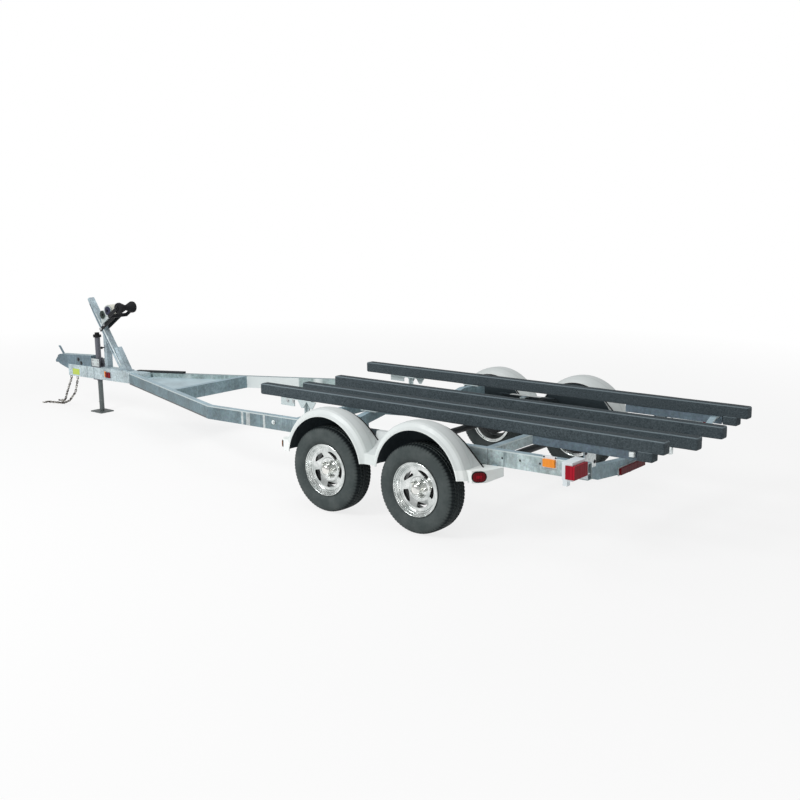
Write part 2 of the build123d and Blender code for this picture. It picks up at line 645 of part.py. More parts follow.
def tail_housing(side):
    """Lamp box on an angled tray that is bolted to the rail's outer face."""
    box = block(LAMP_X, sorted((side * LAMP_Y[0], side * LAMP_Y[1])), LAMP_Z)
    tray = block((RAIL_REAR_X - 110, LAMP_X[1] - 10), sorted((side * FRAME_HALF, side * (LAMP_Y[0] + 20))),
                 (LAMP_Z[0], LAMP_Z[0] + LAMP_TRAY_T))
    leg_y = sorted((side * FRAME_HALF, side * (FRAME_HALF + LAMP_TRAY_T)))
    leg = block((RAIL_REAR_X - 110, RAIL_REAR_X), leg_y, (RAIL_BOTTOM + 10, LAMP_Z[0] + LAMP_TRAY_T))
    stub = block((LAMP_X[0] + 6, LAMP_X[0] + 40), sorted((side * (LAMP_Y[1] - 40), side * LAMP_Y[1])),
                 (LAMP_Z[0] - 38, LAMP_Z[0]))
    return joined([box, tray, leg, stub])


def tail_lens(side):
    y0, y1 = LAMP_Y[0] + 10, LAMP_Y[1]
    z0, z1 = LAMP_Z[0] + 14, LAMP_Z[1] - 20
    face = block((LAMP_X[1], LAMP_X[1] + LENS_T), sorted((side * y0, side * y1)), (z0, z1))
    wrap = block((LAMP_X[1] - LENS_WRAP, LAMP_X[1] + LENS_T), sorted((side * y1, side * (y1 + 12))), (z0, z1))
    return joined([face, wrap])


MARKER_X = (884.0, 980.0)         # side lamps on the rails
MARKER_Z = (567.0, 623.0)
MARKER_T = 22.0
PAD_LAMP = {"front": (44.0, 40.0), "rear": (94.0, 64.0)}          # length and height
PAD_LAMP_T = 12.0


def pad_lamp(place, side):
    """Rounded lamp on the cut corner of a step pad."""
    away = -1 if place == "front" else 1
    length, height = PAD_LAMP[place]
    body = Box(length, PAD_LAMP_T, height)
    body = fillet(body.edges().filter_by(Axis.Y), height / 2 - 2)
    off = PAD_CORNER / 2 - PAD_LAMP_T / 2 * sin(radians(45)) - 0.2
    x = ARCH_X[place] + away * (PAD_LENGTH[place] - off)
    turn = -45 * side * away
    return Pos(x, side * (STEP_OUT_Y - off), (PAD_LOW + PAD_TOP) / 2) * Rot(0, 0, turn) * body


def amber_markers():
    """Side lamps on the rails and small lamps on the front step pads."""
    sides = []
    for s in (-1, 1):
        ys = sorted((s * FRAME_HALF, s * (FRAME_HALF + MARKER_T)))
        sides.append(block(MARKER_X, ys, MARKER_Z))
    return [tipped(lamp) for lamp in sides + [pad_lamp("front", s) for s in (-1, 1)]]


TONGUE_MARKER_X = (-5240.0, -5160.0)
TONGUE_MARKER_Z = (545.0, 605.0)


def red_markers():
    """Lamps on the rear step pads and reflectors on the tongue."""
    half = TONGUE_W / 2
    discs = [block(TONGUE_MARKER_X, sorted((s * half, s * (half + 10))), TONGUE_MARKER_Z) for s in (-1, 1)]
    return [tipped(lamp) for lamp in discs + [pad_lamp("rear", s) for s in (-1, 1)]]


BAR_X = REAR_BEAM_X + BEAM_W / 2
BAR_HALF = 200.0
BAR_Z = (382.0, 446.0)
BAR_T = 8.0
BAR_LAMPS = 3


def light_bar():
    return block((BAR_X, BAR_X + BAR_T), (-BAR_HALF, BAR_HALF), BAR_Z)


def bar_lamps():
    """Row of lamps that fills the bar."""
    pitch = (2 * BAR_HALF - 12) / BAR_LAMPS
    middles = [pitch * (i - (BAR_LAMPS - 1) / 2) for i in range(BAR_LAMPS)]
    x0 = BAR_X + BAR_T
    half, zs = pitch / 2 - 1, (BAR_Z[0] + 8, BAR_Z[1] - 6)
    return [block((x0, x0 + 20), (y - half, y + half), zs) for y in middles]


# ---------------------------------------------------------------- front end
COUPLER_W = 92.0
COUPLER_H = 122.0         # housing over the tongue, at its rear
COUPLER_NOSE_H = 100.0
COUPLER_SLANT = 40.0
COUPLER_REAR_X = -5505.0
COUPLER_NOSE_X = -6130.0
BALL_R = 25.4
SOCKET_X = -6180.0
SOCKET_Z = 655.0
LATCH_H = 98.0


def coupler():
    """Folded housing on the tongue, with the ball socket ahead of it."""
    half = COUPLER_W / 2
    nose = COUPLER_NOSE_X + COUPLER_SLANT
    side = [(COUPLER_REAR_X, TONGUE_TOP), (COUPLER_REAR_X, TONGUE_TOP + COUPLER_H),
            (nose, TONGUE_TOP + COUPLER_NOSE_H), (COUPLER_NOSE_X, TONGUE_TOP + COUPLER_NOSE_H - 16),
            (COUPLER_NOSE_X, TONGUE_TOP + 4), (nose, TONGUE_TOP - 16),
            (TONGUE_FRONT_X, TONGUE_TOP - 60), (TONGUE_FRONT_X, TONGUE_TOP)]
    shell = plate_xz(side, -half, half)
    socket = Pos(SOCKET_X, 0, SOCKET_Z) * Sphere(BALL_R + 12)
    neck = block((SOCKET_X, COUPLER_NOSE_X + 20), (-26, 26), (SOCKET_Z + 2, SOCKET_Z + 46))
    body = joined([shell, socket, neck])
    ball = Pos(SOCKET_X, 0, SOCKET_Z) * Sphere(BALL_R + 0.6)
    mouth = block((SOCKET_X - 60, SOCKET_X + 40), (-60, 60), (SOCKET_Z - 80, SOCKET_Z - 12))
    return body - ball - mouth


def latch():
    x = COUPLER_NOSE_X + COUPLER_SLANT / 2
    z = TONGUE_TOP + COUPLER_NOSE_H - 8
    lever = plate_xz([(x + 30, z + 1), (x + 44, z + 6), (x - 26, z + LATCH_H - 6), (x - 44, z + LATCH_H),
                      (x - 50, z + LATCH_H - 10), (x - 36, z + LATCH_H - 18)], -9, 9)
    return lever - coupler()


def jack_tube():
    tube = rod((JACK_X, 0, TONGUE_BOTTOM - 25), (JACK_X, 0, JACK_TUBE_TOP), JACK_TUBE_R - 0.2)
    bore = rod((JACK_X, 0, TONGUE_BOTTOM - 30), (JACK_X, 0, JACK_TUBE_TOP - 7), JACK_BORE_R)
    flange = block((JACK_X - 70, JACK_X + 70), (-50, 50), (TONGUE_TOP, TONGUE_TOP + 10))
    z = TONGUE_TOP + 10
    rib = [(JACK_X + 26, z), (JACK_X + 64, z), (JACK_X + 26, z + 100)]
    ribs = [plate_xz(rib, s * 26 - 4, s * 26 + 4) for s in (-1, 1)]
    collar = block((JACK_X - 50, JACK_X + 50), (-50, 50), (TONGUE_BOTTOM - 10, TONGUE_BOTTOM))
    return joined([tube, flange, collar] + ribs) - bore


JACK_BORE_R = 26.6
JACK_LEG_R = JACK_BORE_R - RUN_GAP
FOOT_T = 12.0


def jack_cap():
    z = JACK_TUBE_TOP
    base = rod((JACK_X, 0, z), (JACK_X, 0, z + 25), 44)
    top = rod((JACK_X, 0, z + 25), (JACK_X, 0, z + 51), 26)
    grip = rod((JACK_X - 60, 0, z + 15), (JACK_X, 0, z + 15), 12)
    return joined([base, top, grip])


def jack_leg():
    """Sliding leg, drawn along the tilted jack axis, with a level foot plate on the ground."""
    ground = -JACK_X * tan(radians(NOSE_DOWN))
    leg = tipped(rod((JACK_X, 0, ground + 20), (JACK_X, 0, 760), JACK_LEG_R))
    a = radians(NOSE_DOWN)
    foot_x = JACK_X * cos(a) - ground * sin(a)
    plate = block((foot_x - 95, foot_x + 95), (-85, 85), (0, FOOT_T))
    boss = rod((foot_x, 0, FOOT_T), (foot_x, 0, FOOT_T + 40), 22)
    pin = rod((foot_x - 45, 0, 110), (foot_x + 10, 0, 110), 7)
    return joined([leg, plate, boss, pin])


MAST_FOOT = (-4973.0, 0.0, TONGUE_TOP)
MAST_TOP = (-5501.0, 0.0, 1398.0)
MAST_TAPER_L = 190.0      # length over which the mast narrows to its top
MAST_W = 70.0
MAST_D = 50.0
POST_X = -5245.0


def winch_stand():
    """Leaning box mast, upright post and base plate, on the tongue."""
    foot, top = Vector(*MAST_FOOT), Vector(*MAST_TOP)
    along = (top - foot).normalized()
    across = Vector(along.Z, 0, -along.X) * (MAST_D / 2)
    start = foot - along * 60
    neck = top - along * MAST_TAPER_L
    outline = (start - across, start + across, top + across, top - across * 0.2, neck - across)
    mast = plate_xz([(p.X, p.Z) for p in outline], -MAST_W / 2, MAST_W / 2)
    meeting = foot + along * ((POST_X - foot.X) / along.X)
    upright = block((POST_X - 24, POST_X + 24), (-MAST_W / 2, MAST_W / 2), (TONGUE_TOP, meeting.Z))
    rib = plate_xz([(foot.X + 20, TONGUE_TOP), (foot.X + 95, TONGUE_TOP), (foot.X - 70, TONGUE_TOP + 250),
                    (foot.X - 110, TONGUE_TOP + 240)], -MAST_W / 2, MAST_W / 2)
    base = block((POST_X - 70, foot.X + 100), (-TONGUE_W / 2, TONGUE_W / 2), (TONGUE_TOP, TONGUE_TOP + 8))
    below = block((-7000, -3000), (-500, 500), (0, TONGUE_TOP))
    return joined([mast, upright, rib, base]) - below


ROLLER_X, ROLLER_Z = -4888.0, 1327.0
ROLLER_R = 61.0
ROLLER_NECK_R = 30.0
ROLLER_HALF = 112.0
ROLLER_PIN_R = 9.0
ARM_FOOT = (-5310.0, 1062.0)
ARM_BEND = 0.66           # share of the arm's length where it widens to its yoke
ARM_H = 40.0
ARM_T = 6.0


def arm_point(share, over):
    """Point at a share of the arm's length and a height over its middle line, as (X, Z)."""
    fx, fz = ARM_FOOT
    a = atan2(ROLLER_Z - fz, ROLLER_X - fx)
    return (fx + (ROLLER_X - fx) * share - over * sin(a), fz + (ROLLER_Z - fz) * share + over * cos(a))


def arm_strip(share0, share1, low, high, y0, y1):
    points = [arm_point(share0, low), arm_point(share1, low), arm_point(share1, high),
              arm_point(share0, high)]
    return plate_xz(points, min(y0, y1), max(y0, y1))


def bow_arms():
    """Two bars on the mast's sides that widen to a yoke and hold the roller's pin."""
    half, yoke_y, out = ARM_H / 2, ROLLER_HALF + 3, []
    for s in SIDES.values():
        y0 = s * MAST_W / 2
        out.append(arm_strip(0, ARM_BEND, -half, half, y0, y0 + s * ARM_T))
        out.append(arm_strip(ARM_BEND, 1.05, -half, half, s * yoke_y, s * (yoke_y + ARM_T)))
    out.append(arm_strip(ARM_BEND - 0.015, ARM_BEND, -half, half, -yoke_y - ARM_T, yoke_y + ARM_T))
    out.append(rod((ROLLER_X, -yoke_y - 14, ROLLER_Z), (ROLLER_X, yoke_y + 14, ROLLER_Z), ROLLER_PIN_R))
    return joined(out)


def bow_roller():
    bore = ROLLER_PIN_R + RUN_GAP
    half = ROLLER_HALF
    profile = [(bore, -half), (26, -half), (ROLLER_R - 4, -half + 8), (ROLLER_R, -half + 20),
               (ROLLER_R, -half + 36), (ROLLER_NECK_R, -8), (ROLLER_NECK_R, 8), (ROLLER_R, half - 36),
               (ROLLER_R, half - 20), (ROLLER_R - 4, half - 8), (26, half), (bore, half)]
    return turned(profile, ROLLER_X, 0, ROLLER_Z)


DRUM_X, DRUM_Z = -5108.0, 1289.0
STRAP_R = 64.0
DRUM_CORE_R = 25.0
DRUM_FLANGE_R = 58.0
WINCH_HALF = 62.0
GEAR_X, GEAR_Z = -5205.0, 1240.0
GEAR_R = 48.0
WINCH_BASE_T = 6.0


def winch():
    """Winch base on the arms, its two side plates, strap drum with flanges, and gear disc."""
    base_low = ARM_H / 2 + SEAT_GAP
    out = [arm_strip(0.18, 0.56, base_low, base_low + WINCH_BASE_T, -WINCH_HALF, WINCH_HALF),
           rod((DRUM_X, -WINCH_HALF, DRUM_Z), (DRUM_X, WINCH_HALF, DRUM_Z), DRUM_CORE_R)]
    foot = [arm_point(0.18, base_low), arm_point(0.56, base_low)]
    cheek = [*foot, (DRUM_X + 14, DRUM_Z + 10), (DRUM_X - 14, DRUM_Z + 18), (GEAR_X - 40, GEAR_Z + 30)]
    for s in SIDES.values():
        y0 = s * WINCH_HALF
        out.append(plate_xz(cheek, *sorted((y0, y0 - s * WINCH_BASE_T))))
        out.append(rod((DRUM_X, y0, DRUM_Z), (DRUM_X, y0 + s * 14, DRUM_Z), DRUM_FLANGE_R))
    out.append(rod((GEAR_X, -WINCH_HALF - 8, GEAR_Z), (GEAR_X, WINCH_HALF + 8, GEAR_Z), 16))
    out.append(rod((GEAR_X, -WINCH_HALF - 8, GEAR_Z), (GEAR_X, 8 - WINCH_HALF, GEAR_Z), GEAR_R))
    return joined(out)


def winch_strap():
    """Webbing wound on the drum, between the winch's side plates and over its base."""
    half, core = WINCH_HALF - WINCH_BASE_T - 3, DRUM_CORE_R + SEAT_GAP
    roll = turned([(core, -half), (STRAP_R, -half), (STRAP_R, half), (core, half)], DRUM_X, 0, DRUM_Z)
    base_top = ARM_H / 2 + SEAT_GAP + WINCH_BASE_T
    return roll - arm_strip(0, 1, -ARM_H, base_top + SEAT_GAP, -ROLLER_HALF, ROLLER_HALF)


# ---------------------------------------------------------------- safety chains
LINK_WIRE = 7.0
LINK_PITCH = 27.0         # inside length
LINK_IN_W = 10.0


def link(centre, direction, roll):
    """One flat-sided link: a stadium ring drawn along its local X."""
    long, wide = LINK_PITCH / 2 + LINK_WIRE, LINK_IN_W / 2 + LINK_WIRE
    cut = wide * 0.45
    outer = [(-long, -wide + cut), (-long + cut, -wide), (long - cut, -wide), (long, -wide + cut),
             (long, wide - cut), (long - cut, wide), (-long + cut, wide), (-long, wide - cut)]
    il, iw = LINK_PITCH / 2, LINK_IN_W / 2
    inner = [(-il, -iw), (il, -iw), (il, iw), (-il, iw)]
    half = LINK_WIRE / 2
    ring = plate_xy(outer, -half, half) - plate_xy(inner, -half - 1, half + 1)
    plane = Plane(origin=centre, x_dir=direction, z_dir=Vector(*direction).cross(Vector(0, 1, 0.02)))
    return Location(plane) * Rot(roll, 0, 0) * ring


def chain(route):
    """Links along a route of straight runs, every other link turned a quarter."""
    points = [Vector(*p) for p in route]
    runs = [(b - a).length for a, b in zip(points, points[1:])]
    step = LINK_PITCH - SEAT_GAP
    count = int(sum(runs) // step)
    out = []
    for i in range(count):
        s = (i + 0.5) * step
        k = 0
        while k < len(runs) - 1 and s > runs[k]:
            s -= runs[k]
            k += 1
        d = (points[k + 1] - points[k]).normalized()
        out.append(link(points[k] + d * s, d, 45 + 90 * (i % 2)))
    end = points[k] + d * (s + LINK_PITCH / 2 + LINK_WIRE + HOOK_R + SEAT_GAP)
    out.append(hook(Vector(end.X, end.Y, HOOK_T / 2 + 3), atan2(d.Y, d.X)))
    return out


HOOK_R = 30.0
HOOK_T = 12.0


def hook(centre, heading):
    """Open hook that lies flat at the end of a chain."""
    def arc(radius, start, stop, steps=9):
        turns = [start + (stop - start) * i / steps for i in range(steps + 1)]
        return [(radius * cos(t), radius * sin(t)) for t in turns]

    outline = arc(HOOK_R, -0.8 * pi, 0.7 * pi) + arc(HOOK_R - 13, 0.7 * pi, -0.8 * pi)
    body = plate_xy(outline, -HOOK_T / 2, HOOK_T / 2)
    return Pos(centre.X, centre.Y, centre.Z) * Rot(0, 0, heading * 180 / pi + 180) * body


LINK_LIE = 17.0           # height of a link's middle when it lies on the ground
LINK_END = LINK_WIRE + 0.5 * SEAT_GAP + 0.6


def hang_from(x, y):
    """Start of a chain under the tongue, and the end of its first, upright link."""
    z = TONGUE_BOTTOM * cos(radians(NOSE_DOWN)) + x * sin(radians(NOSE_DOWN)) - LINK_END
    return [(x, y, z), (x, y, z - LINK_PITCH)]


CHAINS = {
    "left": hang_from(-5917, -38) + [(-6034, -24, 160), (-6100, -10, 60), (-6180, 10, LINK_LIE),
                                     (-6290, 60, LINK_LIE)],
    "right": hang_from(-5800, -38) + [(-5850, -45, 174), (-5990, -30, 60), (-6090, -40, LINK_LIE),
                                      (-6200, -70, LINK_LIE), (-6325, -108, LINK_LIE)],
}


# ---------------------------------------------------------------- every node in its place
nodes["tongue"] = tipped(tongue())
for name, side in SIDES.items():
    nodes[f"rail_{name}"] = tipped(side_rail(side))
nodes["gusset_plate"] = tipped(gusset())
nodes["crossmember_front"] = tipped(front_beam())
for name, x in LEVEL_BEAMS.items():
    nodes[f"crossmember_{name}"] = tipped(level_beam(x))
nodes["crossmember_raised"] = tipped(raised_beam())
nodes["crossmember_rear"] = tipped(rear_beam())
for place, x in AXLE_X.items():
    nodes[f"axle_{place}"] = axle(x)
nodes["leaf_springs"] = [tipped(spring(x, s)) for x in AXLE_X.values() for s in SIDES.values()]
nodes["spring_hangers"] = [tipped(h) for s in SIDES.values() for h in hangers(s)]
for place, x in AXLE_X.items():
    for name, side in SIDES.items():
        nodes[f"tyre_{place}_{name}"] = tyre(x, side)
        nodes[f"rim_{place}_{name}"] = rim(x, side)
        nodes[f"hub_{place}_{name}"] = hub(x, side)
for name, side in SIDES.items():
    nodes[f"fender_{name}"] = tipped(fender(side))
    nodes[f"bunk_outer_{name}"] = bunk(OUTER_BUNK_Y, OUTER_BUNK_X, OUTER_BUNK_TOP, side, True)
    nodes[f"bunk_inner_{name}"] = bunk(INNER_BUNK_Y, INNER_BUNK_X, INNER_BUNK_TOP, side, False)
nodes["fender_brackets"] = [tipped(b) for s in SIDES.values() for b in fender_brackets(s)]
nodes["bunk_posts"] = bunk_posts()
nodes["bunk_channels"] = [bunk_channel(s) for s in SIDES.values()]
nodes["bunk_tie"] = bunk_tie()
nodes["tail_housings"] = [tipped(tail_housing(s)) for s in SIDES.values()]
nodes["tail_lenses"] = [tipped(tail_lens(s)) for s in SIDES.values()]
nodes["amber_markers"] = amber_markers()
nodes["red_markers"] = red_markers()
nodes["light_bar"] = tipped(light_bar())
nodes["bar_lamps"] = [tipped(lamp) for lamp in bar_lamps()]
nodes["coupler"] = tipped(coupler())
nodes["coupler_latch"] = tipped(latch())
nodes["jack_tube"] = tipped(jack_tube())
nodes["jack_cap"] = tipped(jack_cap())
nodes["jack_leg"] = jack_leg()
nodes["winch_stand"] = tipped(winch_stand())
nodes["bow_arms"] = tipped(bow_arms())
nodes["bow_roller"] = tipped(bow_roller())
nodes["winch"] = tipped(winch())
nodes["winch_strap"] = tipped(winch_strap())
for name, route in CHAINS.items():
    nodes[f"chain_{name}"] = chain(route)

solids = {name: shape if isinstance(shape, list) else [shape] for name, shape in nodes.items()}
boxes = [shape.bounding_box() for group in solids.values() for shape in group]
SHIFT_X = -(min(b.min.X for b in boxes) + max(b.max.X for b in boxes)) / 2

os.makedirs("parts", exist_ok=True)
for name, group in solids.items():
    moved = [solid for shape in group for solid in (Pos(SHIFT_X, 0, 0) * shape).solids()]
    export_step(moved[0] if len(moved) == 1 else Compound(moved), f"parts/{name}.step")
print("origin shift along X, mm:", round(SHIFT_X, 3))
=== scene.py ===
import json
from math import cos, pi, radians, sin

import bmesh
import bpy
from mathutils import Euler, Matrix, Vector, noise


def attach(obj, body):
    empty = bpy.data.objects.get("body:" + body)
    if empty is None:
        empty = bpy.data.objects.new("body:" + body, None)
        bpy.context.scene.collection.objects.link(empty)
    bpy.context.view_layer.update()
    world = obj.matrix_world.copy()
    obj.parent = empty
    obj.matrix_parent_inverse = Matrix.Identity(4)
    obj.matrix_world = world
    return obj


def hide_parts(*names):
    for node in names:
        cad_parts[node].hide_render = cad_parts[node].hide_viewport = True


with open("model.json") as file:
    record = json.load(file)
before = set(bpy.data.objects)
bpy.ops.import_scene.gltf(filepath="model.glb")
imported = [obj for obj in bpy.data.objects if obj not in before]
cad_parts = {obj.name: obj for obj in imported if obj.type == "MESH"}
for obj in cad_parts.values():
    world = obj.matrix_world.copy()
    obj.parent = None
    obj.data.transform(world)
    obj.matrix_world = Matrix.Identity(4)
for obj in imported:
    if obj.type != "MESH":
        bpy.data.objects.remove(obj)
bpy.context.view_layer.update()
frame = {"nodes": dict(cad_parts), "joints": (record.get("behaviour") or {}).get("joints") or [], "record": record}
scene = bpy.context.scene

# -------- sizes, in metres
# Places are given with the side rails level and X = 0 at the rear axle. TIPPED turns them nose down, into
# the part's frame, and BUNK_TIPPED does so for the bunks, which slope less.
NOSE_DOWN = radians(1.43)
BUNK_SLOPE = radians(0.69)
SHIFT_X = next(j for j in frame["joints"] if j["name"] == "wheel_rear_left_spin")["pos_m"][0]
TIPPED = Matrix.Translation((SHIFT_X, 0, 0)) @ Matrix.Rotation(-NOSE_DOWN, 4, "Y")
BUNK_TIPPED = Matrix.Translation((SHIFT_X, 0, 0)) @ Matrix.Rotation(-BUNK_SLOPE, 4, "Y")
AXLE_X = {"rear": 0.0, "front": -0.896}
SIDES = {"left": -1, "right": 1}

TYRE_R = 0.340
RIM_FACE_Y, RIM_W = 1.240, 0.178
TYRE_MID_Y = RIM_FACE_Y - RIM_W / 2
RAIL_TOP, RAIL_BOTTOM, RAIL_OUT = 0.631, 0.510, 0.868
RAIL_HIGHLIGHT_H, RAIL_SKIRT = 0.009, 0.013      # painted highlight along a rail's top, and brown lower edge of a rail
RAIL_BEND_X, BROWN_TO_X = -2.651, -2.7
TONGUE_TOP, TONGUE_BOTTOM, TONGUE_HALF = 0.643, 0.513, 0.0525
BUNK_W, BUNK_H = 0.088, 0.095
# outer Y, top, front end and rear end of each kind of bunk
BUNKS = {"outer": (0.757, 0.846, -2.083, 1.734), "inner": (0.262, 0.784, -2.054, 1.746)}

ARCH_X, ARCH_Z, ARCH_R = {"front": -0.869, "rear": 0.038}, 0.419, 0.375
FENDER_OUT_Y, FENDER_W, FENDER_LOW = 1.272, 0.242, 0.472
# an arch's section: how far it swells over ARCH_R, and the depth behind its outer face
ARCH_PROFILE = [(0, 0), (0.023, 0.012), (0.048, 0.028), (0.058, 0.044), (0.061, 0.090), (0.059, 0.125),
                (0.051, 0.160), (0.037, 0.195), (0.015, 0.228), (0.007, FENDER_W)]
# the bridge between the arches: Y and height
SHELF_Y, DIP_HALF = 0.914, 0.290
DIP_SECTION = [(SHELF_Y, 0.664), (0.962, 0.664), (1.045, 0.600), (1.245, 0.552), (1.252, FENDER_LOW)]
PAD_START, PAD_TOP = ARCH_R - 0.045, 0.547


# -------- materials
def toned(color, share):
    """A colour made lighter or darker."""
    return tuple(min(1.0, c * share) for c in color)


class Paint:
    """A procedural material: a Principled shader with helpers for the nodes that feed it."""

    def __init__(self, name, color, rough=0.5, metallic=0.0, **sockets):
        self.mat = bpy.data.materials.new(name)
        self.mat.use_nodes = True
        self.tree = self.mat.node_tree
        self.bsdf = self.tree.nodes["Principled BSDF"]
        self.bsdf.inputs["Base Color"].default_value = (*color, 1)
        self.bsdf.inputs["Roughness"].default_value = rough
        self.bsdf.inputs["Metallic"].default_value = metallic
        for key, value in sockets.items():
            self.bsdf.inputs[key.replace("_", " ")].default_value = value
        self.coords = self.node("TexCoord").outputs["Object"]

    def node(self, kind, **settings):
        made = self.tree.nodes.new("ShaderNode" + kind)
        for key, value in settings.items():
            setattr(made, key, value)
        return made

    def link(self, a, b):
        self.tree.links.new(a, b)

    def feed(self, socket, value):
        """A socket takes another socket, a colour or a plain number."""
        if isinstance(value, bpy.types.NodeSocket):
            self.link(value, socket)
        else:
            socket.default_value = (*value, 1) if isinstance(value, tuple) else value

    def scaled(self, scale):
        mapping = self.node("Mapping")
        mapping.inputs["Scale"].default_value = scale
        self.link(self.coords, mapping.inputs["Vector"])
        return mapping.outputs["Vector"]

    def noise(self, scale, detail=3.0, rough=0.55, stretch=(1, 1, 1)):
        made = self.node("TexNoise")
        self.link(self.scaled(stretch), made.inputs["Vector"])
        made.inputs["Scale"].default_value = scale
        made.inputs["Detail"].default_value = detail
        made.inputs["Roughness"].default_value = rough
        return made.outputs["Fac"]

    def cells(self, scale):
        made = self.node("TexVoronoi")
        self.link(self.coords, made.inputs["Vector"])
        made.inputs["Scale"].default_value = scale
        return made.outputs

    def ramp(self, factor, *stops):
        """A colour ramp. Each stop is a position and a colour or grey value."""
        made = self.node("ValToRGB")
        ramp = made.color_ramp
        while len(ramp.elements) < len(stops):
            ramp.elements.new(1.0)
        for element, (position, value) in zip(ramp.elements, stops):
            element.position = position
            element.color = (*value, 1) if isinstance(value, tuple) else (value, value, value, 1)
        self.link(factor, made.inputs["Fac"])
        return made.outputs["Color"]

    def mix(self, a, b, factor, blend="MIX"):
        made = self.node("Mix", data_type="RGBA", blend_type=blend)
        for socket, value in ((made.inputs[0], factor), (made.inputs[6], a), (made.inputs[7], b)):
            self.feed(socket, value)
        return made.outputs[2]

    def shaded(self, base, factor, *stops):
        """The base colour multiplied by a ramp of greys."""
        return self.mix(base, self.ramp(factor, *stops), 1.0, "MULTIPLY")

    def math(self, operation, a, b=0.0):
        made = self.node("Math", operation=operation)
        self.feed(made.inputs[0], a)
        self.feed(made.inputs[1], b)
        return made.outputs[0]

    def axes(self, vector):
        split = self.node("SeparateXYZ")
        self.link(vector, split.inputs[0])
        return split.outputs

    def normal_axes(self):
        return self.axes(self.node("NewGeometry").outputs["Normal"])

    def level_axes(self):
        """The three coordinates with the rails level and X = 0 at the rear axle."""
        mapping = self.node("Mapping")
        mapping.inputs["Rotation"].default_value = (0, NOSE_DOWN, 0)
        turned = Matrix.Rotation(NOSE_DOWN, 3, "Y") @ Vector((-SHIFT_X, 0, 0))
        mapping.inputs["Location"].default_value = turned
        self.link(self.coords, mapping.inputs["Vector"])
        return self.axes(mapping.outputs["Vector"])

    def facing_up(self, low=0.6, high=0.9):
        """One on faces that look up, nought on walls."""
        return self.ramp(self.normal_axes()[2], (low, 0.0), (high, 1.0))

    def color(self, socket):
        self.link(socket, self.bsdf.inputs["Base Color"])

    def rough(self, factor, low, high):
        self.link(self.ramp(factor, (0.25, low), (0.75, high)), self.bsdf.inputs["Roughness"])

    def bump(self, height, strength, distance):
        made = self.node("Bump")
        made.inputs["Strength"].default_value = strength
        made.inputs["Distance"].default_value = distance
        self.link(height, made.inputs["Height"])
        last = self.bsdf.inputs["Normal"]
        if last.links:
            self.link(last.links[0].from_socket, made.inputs["Normal"])
        self.link(made.outputs["Normal"], last)


def galvanised(name, wall, top, rear=None, streak=0.6, pale=0.0):
    """Hot-dip zinc: cloudy patches, faint crystal cells, and patchy runs down the walls.

    top is the colour painted on faces that look up, in place of the light and shade that falls on them, and rear
    that of a rail's walls towards the tail. pale is the strength of whitish patches."""
    p = Paint(name, wall, metallic=0.25)
    cloud = p.noise(4.5, 4.0, 0.6)
    base = wall
    if rear:
        along = p.math("ADD", p.math("MULTIPLY", p.level_axes()[0], 0.20), 0.62)
        base = p.mix(wall, rear, p.ramp(along, (0.05, 0.0), (0.24, 0.16), (0.75, 1.0)))
    base = p.shaded(base, cloud, (0.28, 0.62), (0.72, 1.25))
    base = p.shaded(base, p.noise(42.0, 4.0, 0.7), (0.32, 0.74), (0.68, 1.26))
    base = p.mix(base, p.cells(70.0)["Color"], 0.05, "SOFT_LIGHT")
    base = zinc_runs(p, base, wall, streak)
    if pale:
        patch = p.noise(2.6, 1.0, 0.4, stretch=(1.0, 1.0, 0.1))
        base = p.mix(base, (0.80, 0.86, 0.86), p.ramp(patch, (0.54, 0.0), (0.57, pale)))
    if rear:
        base = rail_edges(p, base)
    # painted light and shade: faces that look up take the top colour instead of the wall's
    tops = p.shaded(top, cloud, (0.3, 0.85), (0.7, 1.12))
    p.color(p.mix(base, tops, p.facing_up()))
    p.rough(cloud, 0.42, 0.62)
    p.bump(p.noise(180.0, 2.0), 0.12, 0.0006)
    return p.mat


def zinc_runs(p, base, wall, streak):
    """Light and dark runs down a wall, in patches."""
    runs = p.noise(16.0, 5.0, 0.7, stretch=(1.0, 1.0, 0.05))
    where = p.ramp(p.noise(1.7, 2.0), (0.45, 0.2), (0.62, 1.0))
    light = p.math("MULTIPLY", p.ramp(runs, (0.55, 0.0), (0.64, streak)), where)
    dark = p.math("MULTIPLY", p.ramp(runs, (0.34, streak), (0.43, 0.0)), where)
    return p.mix(p.mix(base, toned(wall, 1.7), light), toned(wall, 0.55), dark)


def rail_edges(p, base):
    """A painted highlight along a rail's top, and a brown edge along the bottom of its nose."""
    x, _, z = p.level_axes()
    # painted highlight: a pale band along the top of the rail's wall
    top_highlight = p.math("MULTIPLY", p.math("GREATER_THAN", z, RAIL_TOP - RAIL_HIGHLIGHT_H), 0.75)
    base = p.mix(base, (0.72, 0.80, 0.80), top_highlight)
    low = p.math("LESS_THAN", z, RAIL_BOTTOM + RAIL_SKIRT)
    low = p.math("MULTIPLY", low, p.math("LESS_THAN", x, BROWN_TO_X))
    return p.mix(base, (0.10, 0.085, 0.075), p.math("MULTIPLY", low, 0.7))


def worn_paint(name, color, worn, rough=(0.35, 0.6), metallic=0.0, amount=0.25, gloss=0.5):
    """Paint, plastic or plain metal with small worn spots."""
    p = Paint(name, color, metallic=metallic, Specular_IOR_Level=gloss)
    spots = p.noise(38.0, 5.0, 0.65)
    p.color(p.mix(color, worn, p.ramp(spots, (0.58, 0.0), (0.74, amount))))
    p.rough(p.noise(16.0, 3.0), *rough)
    p.bump(p.noise(220.0, 2.0), 0.1, 0.0004)
    return p.mat


